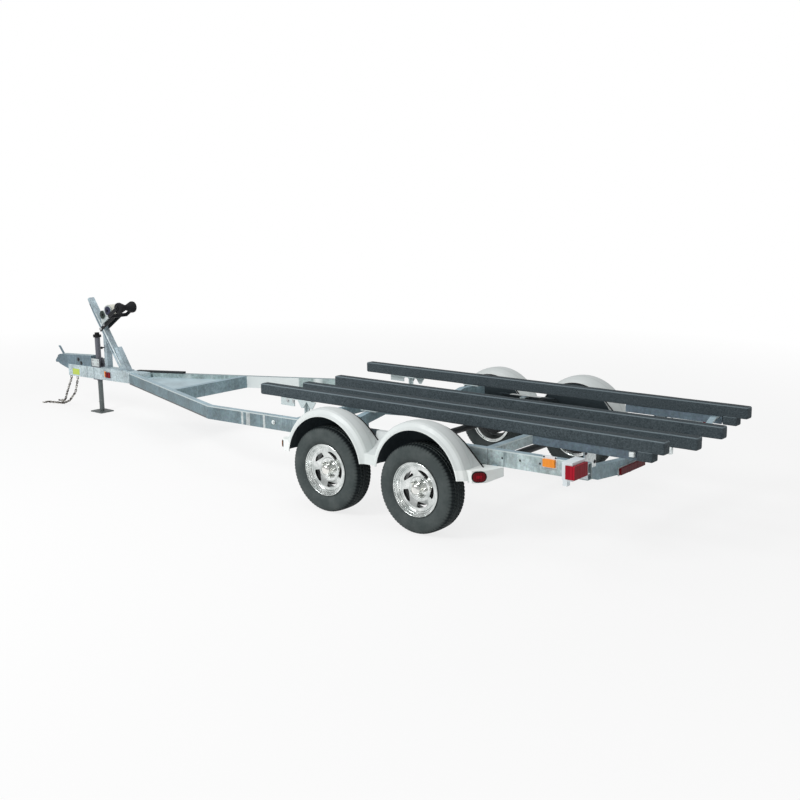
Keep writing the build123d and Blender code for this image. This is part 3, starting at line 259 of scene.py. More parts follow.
def rubber(name, color, dusty, tread=None):
    """Dull rubber, dusty in patches. tread is the darker colour of faces that don't look sideways."""
    p = Paint(name, color, rough=0.7, Specular_IOR_Level=0.12)
    base = p.mix(color, dusty, p.ramp(p.noise(9.0, 5.0, 0.65), (0.4, 0.0), (0.8, 0.7)))
    if tread:
        sideways = p.math("ABSOLUTE", p.normal_axes()[1])
        base = p.mix(tread, base, p.ramp(sideways, (0.35, 0.0), (0.80, 1.0)))
    p.color(base)
    p.rough(p.noise(14.0, 3.0), 0.55, 0.8)
    p.bump(p.noise(260.0, 3.0), 0.2, 0.0005)
    return p.mat


def carpet(name, color, light):
    """Short loop-pile carpet: tufts, darker gaps, a pale bloom on raised fibres, painted shade on the faces that
    look up and a painted highlight along the rounded upper edges.
    """
    p = Paint(name, color, rough=0.95, Specular_IOR_Level=0.04, Sheen_Weight=0.08, Sheen_Roughness=0.6)
    tufts = p.cells(420.0)["Distance"]
    base = p.mix(color, light, p.ramp(p.noise(88.0, 4.0, 0.8), (0.36, 0.05), (0.66, 0.8)))
    base = p.mix(base, toned(color, 0.55), p.ramp(tufts, (0.35, 0.0), (0.8, 0.6)))
    base = p.mix(base, light, p.ramp(p.noise(7.0, 5.0, 0.6), (0.55, 0.0), (0.85, 0.3)))
    # painted shade: faces that look up are darkened
    top = p.mix(base, (0.62, 0.66, 0.68), 1.0, "MULTIPLY")
    base = p.mix(base, top, p.facing_up())
    # painted highlight: the rounded upper edges between top and sides are brightened
    edges = p.ramp(p.normal_axes()[2], (0.15, 0.0), (0.40, 0.75), (0.85, 0.75), (0.97, 0.0))
    p.color(p.mix(base, toned(light, 1.6), edges))
    p.bump(tufts, 0.55, 0.0025)
    p.bump(p.noise(700.0, 3.0, 0.7), 0.4, 0.0015)
    return p.mat


def chrome(name, bright, cloudy):
    """Plated steel gone a little cloudy."""
    p = Paint(name, bright, metallic=1.0)
    p.color(p.mix(bright, cloudy, p.ramp(p.noise(14.0, 5.0, 0.65), (0.35, 0.0), (0.65, 1.0))))
    p.rough(p.noise(30.0, 3.0), 0.10, 0.28)
    return p.mat


def lens(name, color, deep):
    """Moulded lamp lens with vertical flutes; the side that looks rearward is painted darker, as shade."""
    p = Paint(name, color, rough=0.3, Specular_IOR_Level=0.08)
    flutes = p.noise(90.0, 1.0, 0.3, stretch=(1.0, 1.0, 0.02))
    base = p.mix(color, deep, p.ramp(flutes, (0.35, 0.7), (0.65, 0.0)))
    # painted shade: faces that look rearward take the deep colour
    p.color(p.mix(base, deep, p.ramp(p.normal_axes()[0], (0.5, 0.0), (0.9, 0.65))))
    p.bump(flutes, 0.35, 0.002)
    return p.mat


def chain_steel():
    """Steel wire, rusty in spots."""
    p = Paint("chain_steel", (0.42, 0.41, 0.37), rough=0.45, metallic=0.3)
    rust = p.ramp(p.noise(30.0, 2.0), (0.44, 0.0), (0.54, 1.0))
    p.color(p.mix((0.50, 0.49, 0.45), (0.030, 0.020, 0.014), rust))
    return p.mat


def webbing():
    """Woven strap with fine ribs."""
    p = Paint("strap_webbing", (0.70, 0.70, 0.62), rough=0.85)
    p.bump(p.node("TexWave").outputs["Fac"], 0.3, 0.001)
    return p.mat


def inside_arches(p, x, out, z, skin=0.002):
    """One inside the two round wells, whose radius follows the arches' section."""
    span = FENDER_W + skin
    share = p.math("DIVIDE", p.math("SUBTRACT", FENDER_OUT_Y + skin, out), span)
    stops = [((depth + skin) / span, ARCH_R + swell - skin) for swell, depth in ARCH_PROFILE]
    radius = p.ramp(share, *stops)
    wells = []
    for middle in ARCH_X.values():
        dx = p.math("SUBTRACT", x, middle)
        dz = p.math("SUBTRACT", z, ARCH_Z)
        squares = p.math("ADD", p.math("MULTIPLY", dx, dx), p.math("MULTIPLY", dz, dz))
        wells.append(p.math("LESS_THAN", p.math("SQRT", squares), radius))
    return p.math("MAXIMUM", *wells)


def under_bridge(p, from_middle, out, z, skin=0.002):
    """One under the bridge that joins the arches."""
    outer_y = DIP_SECTION[-1][0]
    span = outer_y - SHELF_Y
    share = p.math("DIVIDE", p.math("SUBTRACT", out, SHELF_Y - skin / 2), span)
    sheet = p.ramp(share, *[((across - SHELF_Y) / span, height - skin) for across, height in DIP_SECTION])
    bay = p.math("LESS_THAN", z, sheet)
    bay = p.math("MULTIPLY", bay, p.math("LESS_THAN", from_middle, DIP_HALF + skin))
    return p.math("MULTIPLY", bay, p.math("LESS_THAN", out, outer_y - skin))


def fender_paint():
    """White moulding, a little dusty and scuffed, with painted shade on its upward faces, a faint line of painted
    shade for a crease, paler painted light on the pads and black painted shade on the inner sides.
    """
    wall_tone, top_shade_tone, well_shade_tone = (0.76, 0.81, 0.80), (0.60, 0.64, 0.64), (0.045, 0.060, 0.068)
    p = Paint("fender_white", wall_tone, rough=0.4)
    x, y, z = p.level_axes()
    out = p.math("ABSOLUTE", y)
    from_middle = p.math("ABSOLUTE", p.math("SUBTRACT", x, sum(ARCH_X.values()) / 2))
    inside = p.math("MAXIMUM", inside_arches(p, x, out, z), under_bridge(p, from_middle, out, z))
    # painted shade: faces that look up are painted greyer than the walls
    white = p.mix(wall_tone, top_shade_tone, p.facing_up(0.25, 0.85))
    depth = p.math("SUBTRACT", FENDER_OUT_Y, out)
    # painted shade: a dark line along the crown, for a crease that the shape lacks
    crease = p.ramp(p.math("DIVIDE", depth, FENDER_W), (0.48, 0.0), (0.53, 0.32), (0.60, 0.0))
    crease = p.math("MULTIPLY", crease, p.math("GREATER_THAN", z, PAD_TOP + 0.01))
    white = p.mix(white, (0.40, 0.44, 0.44), crease)
    white = p.mix(white, (0.54, 0.58, 0.57), p.ramp(p.noise(5.0, 4.0, 0.6), (0.35, 0.0), (0.8, 0.35)))
    white = p.mix(white, (0.46, 0.47, 0.45), p.ramp(p.noise(45.0, 5.0, 0.7), (0.66, 0.0), (0.78, 0.35)))
    # painted light: the step pads are painted paler
    beyond = p.math("GREATER_THAN", from_middle, (ARCH_X["rear"] - ARCH_X["front"]) / 2 + PAD_START)
    pad = p.math("MULTIPLY", beyond, p.math("LESS_THAN", z, PAD_TOP))
    white = p.mix(white, (0.95, 0.99, 0.97), p.math("MULTIPLY", pad, 0.8))
    # painted shade: black inside the wells and under the bridge
    p.color(p.mix(white, well_shade_tone, inside))
    p.link(p.math("SUBTRACT", 0.45, p.math("MULTIPLY", inside, 0.40)), p.bsdf.inputs["Specular IOR Level"])
    p.rough(p.noise(20.0, 3.0), 0.3, 0.5)
    return p.mat


GALV = galvanised("galvanised", (0.160, 0.232, 0.262), (0.36, 0.48, 0.54), rear=(0.48, 0.58, 0.59))
# painted light: a paler copy of the zinc for the far rail, whose inner side is lit
GALV_FAR = galvanised("galvanised_far", (0.34, 0.43, 0.43), (0.30, 0.37, 0.39), pale=0.95)
GALV_BEAM = galvanised("galvanised_beam", (0.24, 0.34, 0.38), (0.33, 0.45, 0.51))
GALV_PLATE = galvanised("galvanised_plate", (0.46, 0.56, 0.60), (0.47, 0.59, 0.64))
# painted shade: a darker copy of the zinc for the bunk channels, which lie in the bunks' shade; it also colours
# the tongue's dark seams and the mast's channel strip
GALV_DARK = galvanised("galvanised_dark", (0.13, 0.18, 0.22), (0.22, 0.28, 0.32), streak=0.2)
GALV_PALE = galvanised("galvanised_pale", (0.58, 0.64, 0.64), (0.62, 0.68, 0.68), streak=0.25)
TONGUE = galvanised("galvanised_tongue", (0.52, 0.62, 0.65), (0.46, 0.58, 0.63), streak=0.35)
COUPLER = galvanised("coupler_zinc", (0.165, 0.235, 0.28), (0.36, 0.46, 0.50))
STAND = galvanised("galvanised_stand", (0.42, 0.52, 0.57), (0.54, 0.64, 0.68))
BRIGHT_ZINC = galvanised("bright_zinc", (0.82, 0.88, 0.88), (0.74, 0.80, 0.80), streak=0.3)
FENDER = fender_paint()
DARK_STEEL = worn_paint("dark_steel", (0.030, 0.033, 0.036), (0.10, 0.085, 0.07), gloss=0.2)
BLACK_PAINT = worn_paint("black_paint", (0.009, 0.010, 0.012), (0.04, 0.04, 0.04), (0.3, 0.5), gloss=0.2)
JACK_ZINC = worn_paint("jack_zinc", (0.13, 0.135, 0.16), (0.26, 0.25, 0.25), (0.3, 0.5), 0.3)
BLACK_PLASTIC = worn_paint("black_plastic", (0.008, 0.008, 0.009), (0.03, 0.03, 0.03), (0.4, 0.6),
                           gloss=0.2)
TYRE = rubber("tyre_rubber", (0.060, 0.074, 0.074), (0.115, 0.130, 0.128), tread=(0.016, 0.022, 0.024))
ROLLER_RUBBER = rubber("black_rubber", (0.014, 0.015, 0.017), (0.035, 0.035, 0.036))
CARPET = carpet("bunk_carpet", (0.034, 0.048, 0.056), (0.135, 0.168, 0.185))
CHROME = chrome("rim_chrome", (0.88, 0.91, 0.90), (0.50, 0.54, 0.53))
RIM_BACK_SHADE = worn_paint("rim_back_shade", (0.26, 0.275, 0.275), (0.16, 0.15, 0.13), (0.35, 0.55), 0.3, 0.6,
                      gloss=0.4)
CAP_CHROME = chrome("cap_chrome", (0.92, 0.92, 0.88), (0.70, 0.72, 0.70))
DRUM = worn_paint("drum_iron", (0.014, 0.014, 0.014), (0.07, 0.045, 0.03), (0.6, 0.8), gloss=0.1)
BOLT = worn_paint("zinc_bolt", (0.55, 0.57, 0.58), (0.36, 0.36, 0.35), (0.25, 0.4), 0.7)
DARK_BOLT_AND_HOLE_SHADE = worn_paint("weathered_bolt_and_hole_shade", (0.05, 0.055, 0.06), (0.16, 0.13, 0.10), (0.35, 0.55), 0.4)
CHAIN = chain_steel()
JACK_LEG = worn_paint("jack_leg_zinc", (0.12, 0.14, 0.14), (0.34, 0.36, 0.35), (0.3, 0.5), 0.3, 0.8,
                      gloss=0.3)
RED_LENS = lens("red_lens", (0.46, 0.012, 0.030), (0.16, 0.003, 0.008))
DARK_RED_LENS = lens("dark_red_lens", (0.24, 0.012, 0.018), (0.06, 0.003, 0.006))
AMBER_LENS = lens("amber_lens", (0.98, 0.35, 0.055), (0.80, 0.24, 0.03))
HOUSING = worn_paint("lamp_housing", (0.74, 0.81, 0.84), (0.50, 0.53, 0.54), (0.35, 0.5))
WEBBING = webbing()
LABEL = worn_paint("blank_label", (0.52, 0.66, 0.10), (0.45, 0.52, 0.14), (0.35, 0.5), amount=0.3)
WINCH_BLUE = worn_paint("winch_dark_blue", (0.020, 0.023, 0.055), (0.07, 0.07, 0.09), (0.3, 0.5),
                        gloss=0.25)
WINCH_GREEN = worn_paint("winch_dark_green", (0.016, 0.030, 0.024), (0.06, 0.08, 0.07), (0.35, 0.55),
                         gloss=0.25)

SLOT_PAINT = {
    "galvanised": GALV, "dark_steel": DARK_STEEL, "jack_zinc": JACK_ZINC, "black_plastic": BLACK_PLASTIC,
    "black_rubber": ROLLER_RUBBER, "strap_webbing": WEBBING, "fender_metal": FENDER, "bunk_carpet": CARPET,
    "lamp_housing": HOUSING, "red_lens": RED_LENS, "amber_lens": AMBER_LENS, "chain_steel": CHAIN,
    "tyre_rubber": TYRE, "rim_chrome": CHROME, "hub_steel": DRUM,
}
NODE_PAINT = {
    "tongue": TONGUE, "coupler": COUPLER, "coupler_latch": COUPLER, "winch_stand": STAND,
    "winch": GALV_PALE, "bow_arms": BLACK_PAINT, "jack_leg": JACK_LEG,
    "rail_right": GALV_FAR, "gusset_plate": GALV_PLATE,
    "crossmember_front": GALV_BEAM, "crossmember_rear": GALV_BEAM, "crossmember_raised": GALV_BEAM,
    "crossmember_mid": GALV_BEAM, "bunk_channels": GALV_DARK, "light_bar": GALV_PALE,
    "bar_lamps": DARK_RED_LENS, "red_markers": DARK_RED_LENS,
}
for row in frame["record"]["subparts"]:
    paint = NODE_PAINT.get(row["node"], SLOT_PAINT[row["material_slot"]])
    mesh = frame["nodes"][row["node"]].data
    mesh.materials.clear()
    mesh.materials.append(paint)


# -------- mesh helpers
def mesh_of(name, part):
    verts, faces = part
    mesh = bpy.data.meshes.new(name)
    mesh.from_pydata([tuple(v) for v in verts], [], faces)
    return mesh


def outward(mesh):
    """The mesh opened for editing, with its faces turned outward."""
    work = bmesh.new()
    work.from_mesh(mesh)
    bmesh.ops.recalc_face_normals(work, faces=work.faces)
    return work


def sharp_edges(work, angle):
    """Edges that are bent by more than the angle, in degrees."""
    return [e for e in work.edges if len(e.link_faces) == 2 and e.calc_face_angle(0) > radians(angle)]


def in_scene(name, mesh):
    obj = bpy.data.objects.new(name, mesh)
    scene.collection.objects.link(obj)
    return obj


def finished(name, mesh, paint, body, smooth):
    """The mesh as a piece that rides on a body. Edges bent by less than smooth, in degrees, look round."""
    obj = in_scene(name, mesh)
    work = outward(mesh)
    for face in work.faces:
        face.smooth = True
    for edge in sharp_edges(work, smooth):
        edge.smooth = False
    work.to_mesh(mesh)
    work.free()
    mesh.materials.clear()
    mesh.materials.append(paint)
    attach(obj, body)
    return obj


def piece(name, part, paint, body, smooth):
    mesh = mesh_of(name, part)
    mesh.validate()
    mesh.update()
    return finished(name, mesh, paint, body, smooth)


def lathe_grid(profile, segments):
    """Rings about the Y axis: profile lists (radius, y)."""
    verts, faces = [], []
    rows = len(profile)
    for i in range(segments):
        a = 2 * pi * i / segments
        for r, y in profile:
            verts.append(Vector((r * cos(a), y, r * sin(a))))
    for i in range(segments):
        k = (i + 1) % segments
        for j in range(rows - 1):
            faces.append((i * rows + j, i * rows + j + 1, k * rows + j + 1, k * rows + j))
    return verts, faces


def between_rings(count, n):
    """Faces that join a row of rings of n vertices, with a cap at both ends."""
    faces = [(i * n + k, i * n + (k + 1) % n, (i + 1) * n + (k + 1) % n, (i + 1) * n + k)
             for i in range(count - 1) for k in range(n)]
    return faces + [tuple(range(n)), tuple(range((count - 1) * n, count * n))]


def through(points, steps):
    """Points on a smooth line through the given ones."""
    out = []
    last = len(points) - 1
    for i in range(last):
        p0, p1 = Vector(points[max(i - 1, 0)]), Vector(points[i])
        p2, p3 = Vector(points[i + 1]), Vector(points[min(i + 2, last)])
        for k in range(steps):
            t = k / steps
            out.append(0.5 * (2 * p1 + (p2 - p0) * t + (2 * p0 - 5 * p1 + 4 * p2 - p3) * t * t
                              + (3 * p1 - p0 - 3 * p2 + p3) * t ** 3))
    out.append(Vector(points[-1]))
    return out


def merged(*parts):
    """One vertex and face list from several."""
    verts, faces = [], []
    for v, f in parts:
        start = len(verts)
        verts.extend(v)
        faces.extend(tuple(i + start for i in face) for face in f)
    return verts, faces


def moved(part, matrix):
    verts, faces = part
    return [matrix @ Vector(v) for v in verts], faces


def prism(outline, y0, y1):
    """Extruded outline in X and Z, between two Y values, capped."""
    verts = [Vector((x, y, z)) for y in (y0, y1) for x, z in outline]
    return verts, between_rings(2, len(outline))


def bevelled(part, width, segments=2):
    """A part with its sharp edges rounded."""
    mesh = mesh_of("work", part)
    work = outward(mesh)
    bmesh.ops.bevel(work, geom=sharp_edges(work, 35), offset=width, segments=segments, profile=0.5,
                    affect="EDGES", clamp_overlap=True)
    verts = [v.co.copy() for v in work.verts]
    index = {v: i for i, v in enumerate(work.verts)}
    faces = [tuple(index[v] for v in f.verts) for f in work.faces]
    work.free()
    bpy.data.meshes.remove(mesh)
    return verts, faces


def solid_box(size, width=0.002):
    x, y, z = (s / 2 for s in size)
    return bevelled(prism([(-x, -z), (x, -z), (x, z), (-x, z)], -y, y), width)


def hexagon(radius, y0, y1):
    return prism([(radius * cos(pi * i / 3), radius * sin(pi * i / 3)) for i in range(6)], y0, y1)


def hex_bolt(radius, height):
    """Hexagon head on a washer, standing along +Y from the origin."""
    washer_r, washer_t = radius * 1.45, height * 0.2
    head = bevelled(hexagon(radius, 0.001, height), height * 0.18)
    return merged(head, lathe_grid([(0, 0), (washer_r, 0), (washer_r, washer_t), (0, washer_t)], 20))


def facing(point, direction):
    """Matrix that puts a part drawn along +Y at a point, along a direction."""
    turn = Vector((0, 1, 0)).rotation_difference(Vector(direction)).to_matrix().to_4x4()
    return Matrix.Translation(point) @ turn


# -------- wheels
BLOCKS, COLUMNS_PER_BLOCK = 76, 4
GROOVES = (-0.043, -0.014, 0.014, 0.043)
GROOVE_W, GROOVE_WALL, GROOVE_DEPTH = 0.0045, 0.0012, 0.0075
SHOULDER, SHOULDER_R, GAP_DEPTH = (0.046, 0.092), 0.31, 0.0055
SIPE_ROW, SIPE_HALF, SIPE_DEPTH = 0.0285, 0.011, 0.004
RIDGE_R, RIDGE_H = (0.298, 0.304), 0.0012      # fine ridge high on the sidewall
BAND_R, BAND_H = (0.228, 0.246), 0.0008        # blank raised band low on it
SIDEWALL = 0.08


def tyre_section():
    """Half section of the tyre, from the bead out to the tread's middle, as (radius, offset)."""
    side = through([(0.1905, 0.0745), (0.2085, 0.0775), (0.222, 0.088), (0.240, 0.0975), (0.262, 0.1022),
                    (0.284, 0.1015), (0.305, 0.0968), (0.3215, 0.0895), (0.3315, 0.0805),
                    (0.3362, 0.0700)], 3)
    side = [(p.x, p.y) for p in side]
    crown = []
    for middle in sorted((g for g in GROOVES if g > 0), reverse=True):
        crown += [middle + GROOVE_W, middle + GROOVE_W - GROOVE_WALL]
        crown += [middle - GROOVE_W + GROOVE_WALL, middle - GROOVE_W]
    return side + [(TYRE_R - 0.55 * d * d, d) for d in crown]


def tread_cut(r, d, column):
    """How deep the tread is cut at a radius and an offset, in a column of vertices."""
    phase = column % COLUMNS_PER_BLOCK
    if any(abs(d - g) < GROOVE_W - GROOVE_WALL / 2 for g in GROOVES):
        return GROOVE_DEPTH
    if SHOULDER[0] < abs(d) < SHOULDER[1] and r > SHOULDER_R and phase == 0:
        return GAP_DEPTH
    if abs(abs(d) - SIPE_ROW) < SIPE_HALF and phase == 2:
        return SIPE_DEPTH
    return 0.0


def tyre_mesh():
    half = tyre_section()
    section = half + [(r, -d) for r, d in reversed(half)] + [half[0]]
    verts, faces = lathe_grid(section, BLOCKS * COLUMNS_PER_BLOCK)
    for i, v in enumerate(verts):
        column, row = divmod(i, len(section))
        r, d = section[row]
        on_side = abs(d) > SIDEWALL
        ridge = RIDGE_H if on_side and RIDGE_R[0] < r < RIDGE_R[1] else 0.0
        scale = (r - tread_cut(r, d, column) + ridge) / r
        v.x, v.z = v.x * scale, v.z * scale
        if on_side and BAND_R[0] < r < BAND_R[1]:
            v.y += BAND_H if d > 0 else -BAND_H
    return verts, faces


WINDOWS = 5
WINDOW_PHASE, WINDOW_HALF, WINDOW_STEPS = radians(-3), radians(21.5), 12
WINDOW_OUT_R, WINDOW_IN_R = 0.1455, 0.1020
WINDOW_DEPTHS, LUG_DEPTHS = (0.015, 0.085), (0.03, 0.08)      # a cut's start and end behind the flange
LUG_R, LUG_HOLE_R, LUG_NUT_R = 0.060, 0.0078, 0.0125
DISC_BACK, BARREL_R = 0.0570, 0.186      # what lies behind the disc is painted dull and dark, as shade, with worn spots


def window_outline(angle):
    """A curved opening in the wheel's disc, wide at one end and narrowing to the other."""
    points = []
    for i in range(WINDOW_STEPS + 1):
        t = i / WINDOW_STEPS
        points.append((WINDOW_OUT_R - 0.006 * (2 * t - 1) ** 4, angle + WINDOW_HALF * (2 * t - 1)))
    for i in range(WINDOW_STEPS + 1):
        t = 1 - i / WINDOW_STEPS
        r = WINDOW_IN_R + 0.030 * t ** 2.2 + 0.004 * (1 - t) ** 6
        points.append((r, angle + WINDOW_HALF * (2 * t - 1)))
    return [(r * cos(a), r * sin(a)) for r, a in points]


def rim_mesh(side):
    """Stepped barrel and dished disc, before the openings are cut; offsets run outward from the flange."""
    front = through([(0.2075, -0.0105), (0.2078, -0.003), (0.2055, 0.0), (0.2020, 0.0),
                     (0.1995, -0.004), (0.1975, -0.010), (0.1900, -0.012), (0.1880, -0.019),
                     (0.1830, -0.021), (0.1800, -0.0265), (0.1750, -0.0275), (0.1720, -0.0355),
                     (0.1640, -0.0385), (0.1550, -0.0375), (0.1450, -0.0390), (0.1300, -0.0440),
                     (0.1150, -0.0490), (0.1020, -0.0535), (0.0930, -0.0555), (0.0860, -0.0530),
                     (0.0780, -0.0525), (0.0700, -0.0540), (0.0440, -0.0540)], 3)
    front = [(p.x, p.y) for p in front]
    back = [(0.0440, -0.0618), (0.1300, -0.0618), (0.1500, -0.0600), (0.1660, -0.0580), (0.1820, -0.0620),
            (0.1820, -0.1650), (0.2000, -0.1680), (0.2000, -0.1775), (0.2075, -0.1775), (0.2075, -0.1680),
            (0.1900, -0.1640), (0.1900, -0.0140)]
    section = [(r, side * d) for r, d in front + back]
    return lathe_grid(section + [section[0]], 120)


def boolean_cut(obj, cutter_part):
    mesh = mesh_of("cutter", cutter_part)
    work = outward(mesh)
    work.to_mesh(mesh)
    work.free()
    cutter = in_scene("cutter", mesh)
    modifier = obj.modifiers.new("cut", "BOOLEAN")
    modifier.object = cutter
    modifier.operation = "DIFFERENCE"
    modifier.solver = "EXACT"
    applied(obj)
    bpy.data.objects.remove(cutter)
    bpy.data.meshes.remove(mesh)


def applied(obj):
    """The object with its modifiers made part of its mesh."""
    bpy.context.view_layer.update()
    result = bpy.data.meshes.new_from_object(obj.evaluated_get(bpy.context.evaluated_depsgraph_get()))
    obj.modifiers.clear()
    obj.data = result


def welded(part):
    """A part's mesh with its coinciding vertices joined."""
    mesh = mesh_of("work", part)
    work = bmesh.new()
    work.from_mesh(mesh)
    bmesh.ops.remove_doubles(work, verts=work.verts, dist=1e-5)
    bmesh.ops.dissolve_degenerate(work, edges=work.edges, dist=1e-5)
    work.normal_update()
    work.to_mesh(mesh)
    work.free()
    return mesh


def lug_place(i):
    a = 2 * pi * i / WINDOWS
    return Vector((LUG_R * cos(a), 0, LUG_R * sin(a)))


def rim_object(name, x, side, body):
    """The wheel's disc and barrel, with windows and lug holes cut through."""
    work = in_scene("work_rim", welded(rim_mesh(side)))
    for i in range(WINDOWS):
        outline = window_outline(WINDOW_PHASE + 2 * pi * i / WINDOWS)
        boolean_cut(work, prism(outline, *sorted(-side * depth for depth in WINDOW_DEPTHS)))
    y1, y0 = (-side * depth for depth in LUG_DEPTHS)
    for i in range(WINDOWS):
        cut = lathe_grid([(0, y0), (LUG_HOLE_R, y0), (LUG_HOLE_R, y1), (0, y1)], 20)
        boolean_cut(work, moved(cut, Matrix.Translation(lug_place(i))))
    mesh = work.data
    bpy.data.objects.remove(work)
    mesh.transform(Matrix.Translation((x + SHIFT_X, side * RIM_FACE_Y, TYRE_R)))
    mesh.name = name
    rim = finished(name, mesh, CHROME, body, 32)
    # painted shade: faces behind the disc and inside the barrel take a dull dark paint
    mesh.materials.append(RIM_BACK_SHADE)
    for face in mesh.polygons:
        depth = RIM_FACE_Y - abs(face.center.y)
        radius = Vector((face.center.x - x - SHIFT_X, face.center.z - TYRE_R)).length
        if depth > DISC_BACK and radius < BARREL_R:
            face.material_index = 1
    return rim


def hub_trim(side):
    """Chrome cap and five acorn nuts in front of the wheel's disc."""
    cap = [(0, 0.0080), (0.018, 0.0072), (0.030, 0.0040), (0.0385, -0.0040), (0.0425, -0.0130),
           (0.0430, -0.040), (0.0445, -0.0480), (0.0470, -0.0535), (0, -0.0535)]
    parts = [lathe_grid(cap, 48)]
    dome = lathe_grid([(0.0115, 0.020), (0.0105, 0.026), (0.007, 0.031), (0.0, 0.033)], 18)
    nut = merged(bevelled(hexagon(LUG_NUT_R, 0.0, 0.020), 0.0012), dome)
    for i in range(WINDOWS):
        parts.append(moved(nut, Matrix.Translation(lug_place(i) - Vector((0, 0.0540, 0)))))
    return moved(merged(*parts), Matrix.Diagonal((1, side, 1, 1)))


tyre_part = tyre_mesh()
for place, x in AXLE_X.items():
    for name, side in SIDES.items():
        body = f"wheel_{place}_{name}"
        where = Matrix.Translation((x + SHIFT_X, side * TYRE_MID_Y, TYRE_R))
        tyre = piece(f"tread_{place}_{name}", moved(tyre_part, where), TYRE, body, 40)
        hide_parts(f"tyre_{place}_{name}")
        rim = rim_object(f"wheel_disc_{place}_{name}", x, side, body)
        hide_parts(f"rim_{place}_{name}")
        where = Matrix.Translation((x + SHIFT_X, side * RIM_FACE_Y, TYRE_R))
        trim = moved(hub_trim(side), where)
        piece(f"hub_cap_{place}_{name}", trim, CAP_CHROME, body, 32)


# -------- bunks
WRAP_R, WRAP_STATIONS = 0.011, 150
# distance from an end of the bunk, and the share of the full section there
PULLED_IN = [(0.0, 0.82), (0.003, 0.93), (0.009, 0.985), (0.018, 1.0)]
BLOCK_X, BLOCK_H = (1.535, 1.650), 0.062


def wrap_section():
    """Ring round a bunk's section: five points on each rounded corner and one on each face, in Y and Z."""
    hy, hz = BUNK_W / 2, BUNK_H / 2
    cy, cz = hy - WRAP_R, hz - WRAP_R
    ring = []
    for y, z, start, face_middle in ((cy, cz, 0, (0, hz)), (-cy, cz, 90, (-hy, 0)),
                                     (-cy, -cz, 180, (0, -hz)), (cy, -cz, 270, (hy, 0))):
        turns = [radians(start + a) for a in (0, 22, 45, 68, 90)]
        ring += [(y + WRAP_R * cos(a), z + WRAP_R * sin(a)) for a in turns]
        ring.append(face_middle)
    return ring


def bunk_mesh(kind, side, seed):
    """A carpet-wrapped board: rounded edges, a slightly uneven wrap and pulled-in ends."""
    y_out, top, x0, x1 = BUNKS[kind]
    y_mid, z_mid = side * (y_out - BUNK_W / 2), top - BUNK_H / 2
    step = (x1 - x0 - 0.06) / WRAP_STATIONS
    stations = [(x0 + d, share) for d, share in PULLED_IN]
    stations += [(x0 + 0.03 + i * step, 1.0) for i in range(WRAP_STATIONS + 1)]
    stations += [(x1 - d, share) for d, share in reversed(PULLED_IN)]
    ring = wrap_section()
    verts = []
    for x, share in stations:
        for y, z in ring:
            p = Vector((x, y_mid + y * share, z_mid + z * share))
            lump = noise.noise(Vector((x * 6, y * 30 + seed, z * 30))) * 0.0012
            away = Vector((0, y, z)).normalized()
            verts.append(p + away * (lump - 0.0006))
    return verts, between_rings(len(stations), len(ring))


def end_block(side):
    """Carpeted block under the rear end of an outer bunk."""
    y_out, top, _, _ = BUNKS["outer"]
    y_mid = side * (y_out - BUNK_W / 2)
    (x0, x1), z0, z1 = BLOCK_X, top - BUNK_H - BLOCK_H, top - BUNK_H + 0.01
    block = prism([(x0, z0), (x1, z0), (x1, z1), (x0, z1)], y_mid - BUNK_W / 2, y_mid + BUNK_W / 2)
    return bevelled(block, 0.009, 3)


for seed, (kind, name) in enumerate([(k, n) for k in BUNKS for n in SIDES]):
    side = SIDES[name]
    part = bunk_mesh(kind, side, seed * 10.0)
    if kind == "outer":
        part = merged(part, end_block(side))
    bunk = piece(f"carpet_bunk_{kind}_{name}", moved(part, BUNK_TIPPED), CARPET, "frame", 50)
    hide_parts(f"bunk_{kind}_{name}")


# -------- bolts, plates and other trim
def fixed(name, part, paint, slope=TIPPED):
    """A piece on the frame, drawn with the rails level."""
    return piece(name, moved(part, slope), paint, "frame", 35)


def at(point, part, direction):
    return moved(part, facing(point, direction))


def box_at(x, y, z, width=0.001):
    """Box between pairs of coordinates."""
    (x0, x1), (y0, y1), (z0, z1) = sorted(x), sorted(y), sorted(z)
    box = solid_box((x1 - x0, y1 - y0, z1 - z0), width)
    return moved(box, Matrix.Translation(((x0 + x1) / 2, (y0 + y1) / 2, (z0 + z1) / 2)))


def on_side(side, distance, x, z, part):
    """A part drawn along +Y, on a wall that looks sideways."""
    return at((x, side * distance, z), part, (0, side, 0))


def bolts_on(side, distance, places, radius, height):
    """Bolt heads on a wall that looks sideways, at places given by X and height."""
    return merged(*[on_side(side, distance, x, z, hex_bolt(radius, height)) for x, z in places])


def sheet_on(side, distance, thickness, x, z, width=0.0002):
    """A thin plate on a wall that looks sideways."""
    return box_at(x, (side * distance, side * (distance + thickness)), z, width)


def disc(radius, thickness, segments=20):
    return lathe_grid([(0, 0), (radius, 0), (radius, thickness * 0.7), (radius * 0.85, thickness),
                       (0, thickness)], segments)


def tube_along(points, radius, sides=10):
    """Round bar through the points, with closed ends."""
    points = [Vector(p) for p in points]
    verts, last = [], len(points) - 1
    for i, p in enumerate(points):
        along = (points[min(i + 1, last)] - points[max(i - 1, 0)]).normalized()
        turn = Vector((0, 0, 1)).rotation_difference(along).to_matrix()
        for k in range(sides):
            a = 2 * pi * k / sides
            verts.append(p + turn @ Vector((radius * cos(a), radius * sin(a), 0)))
    return verts, between_rings(len(points), sides)
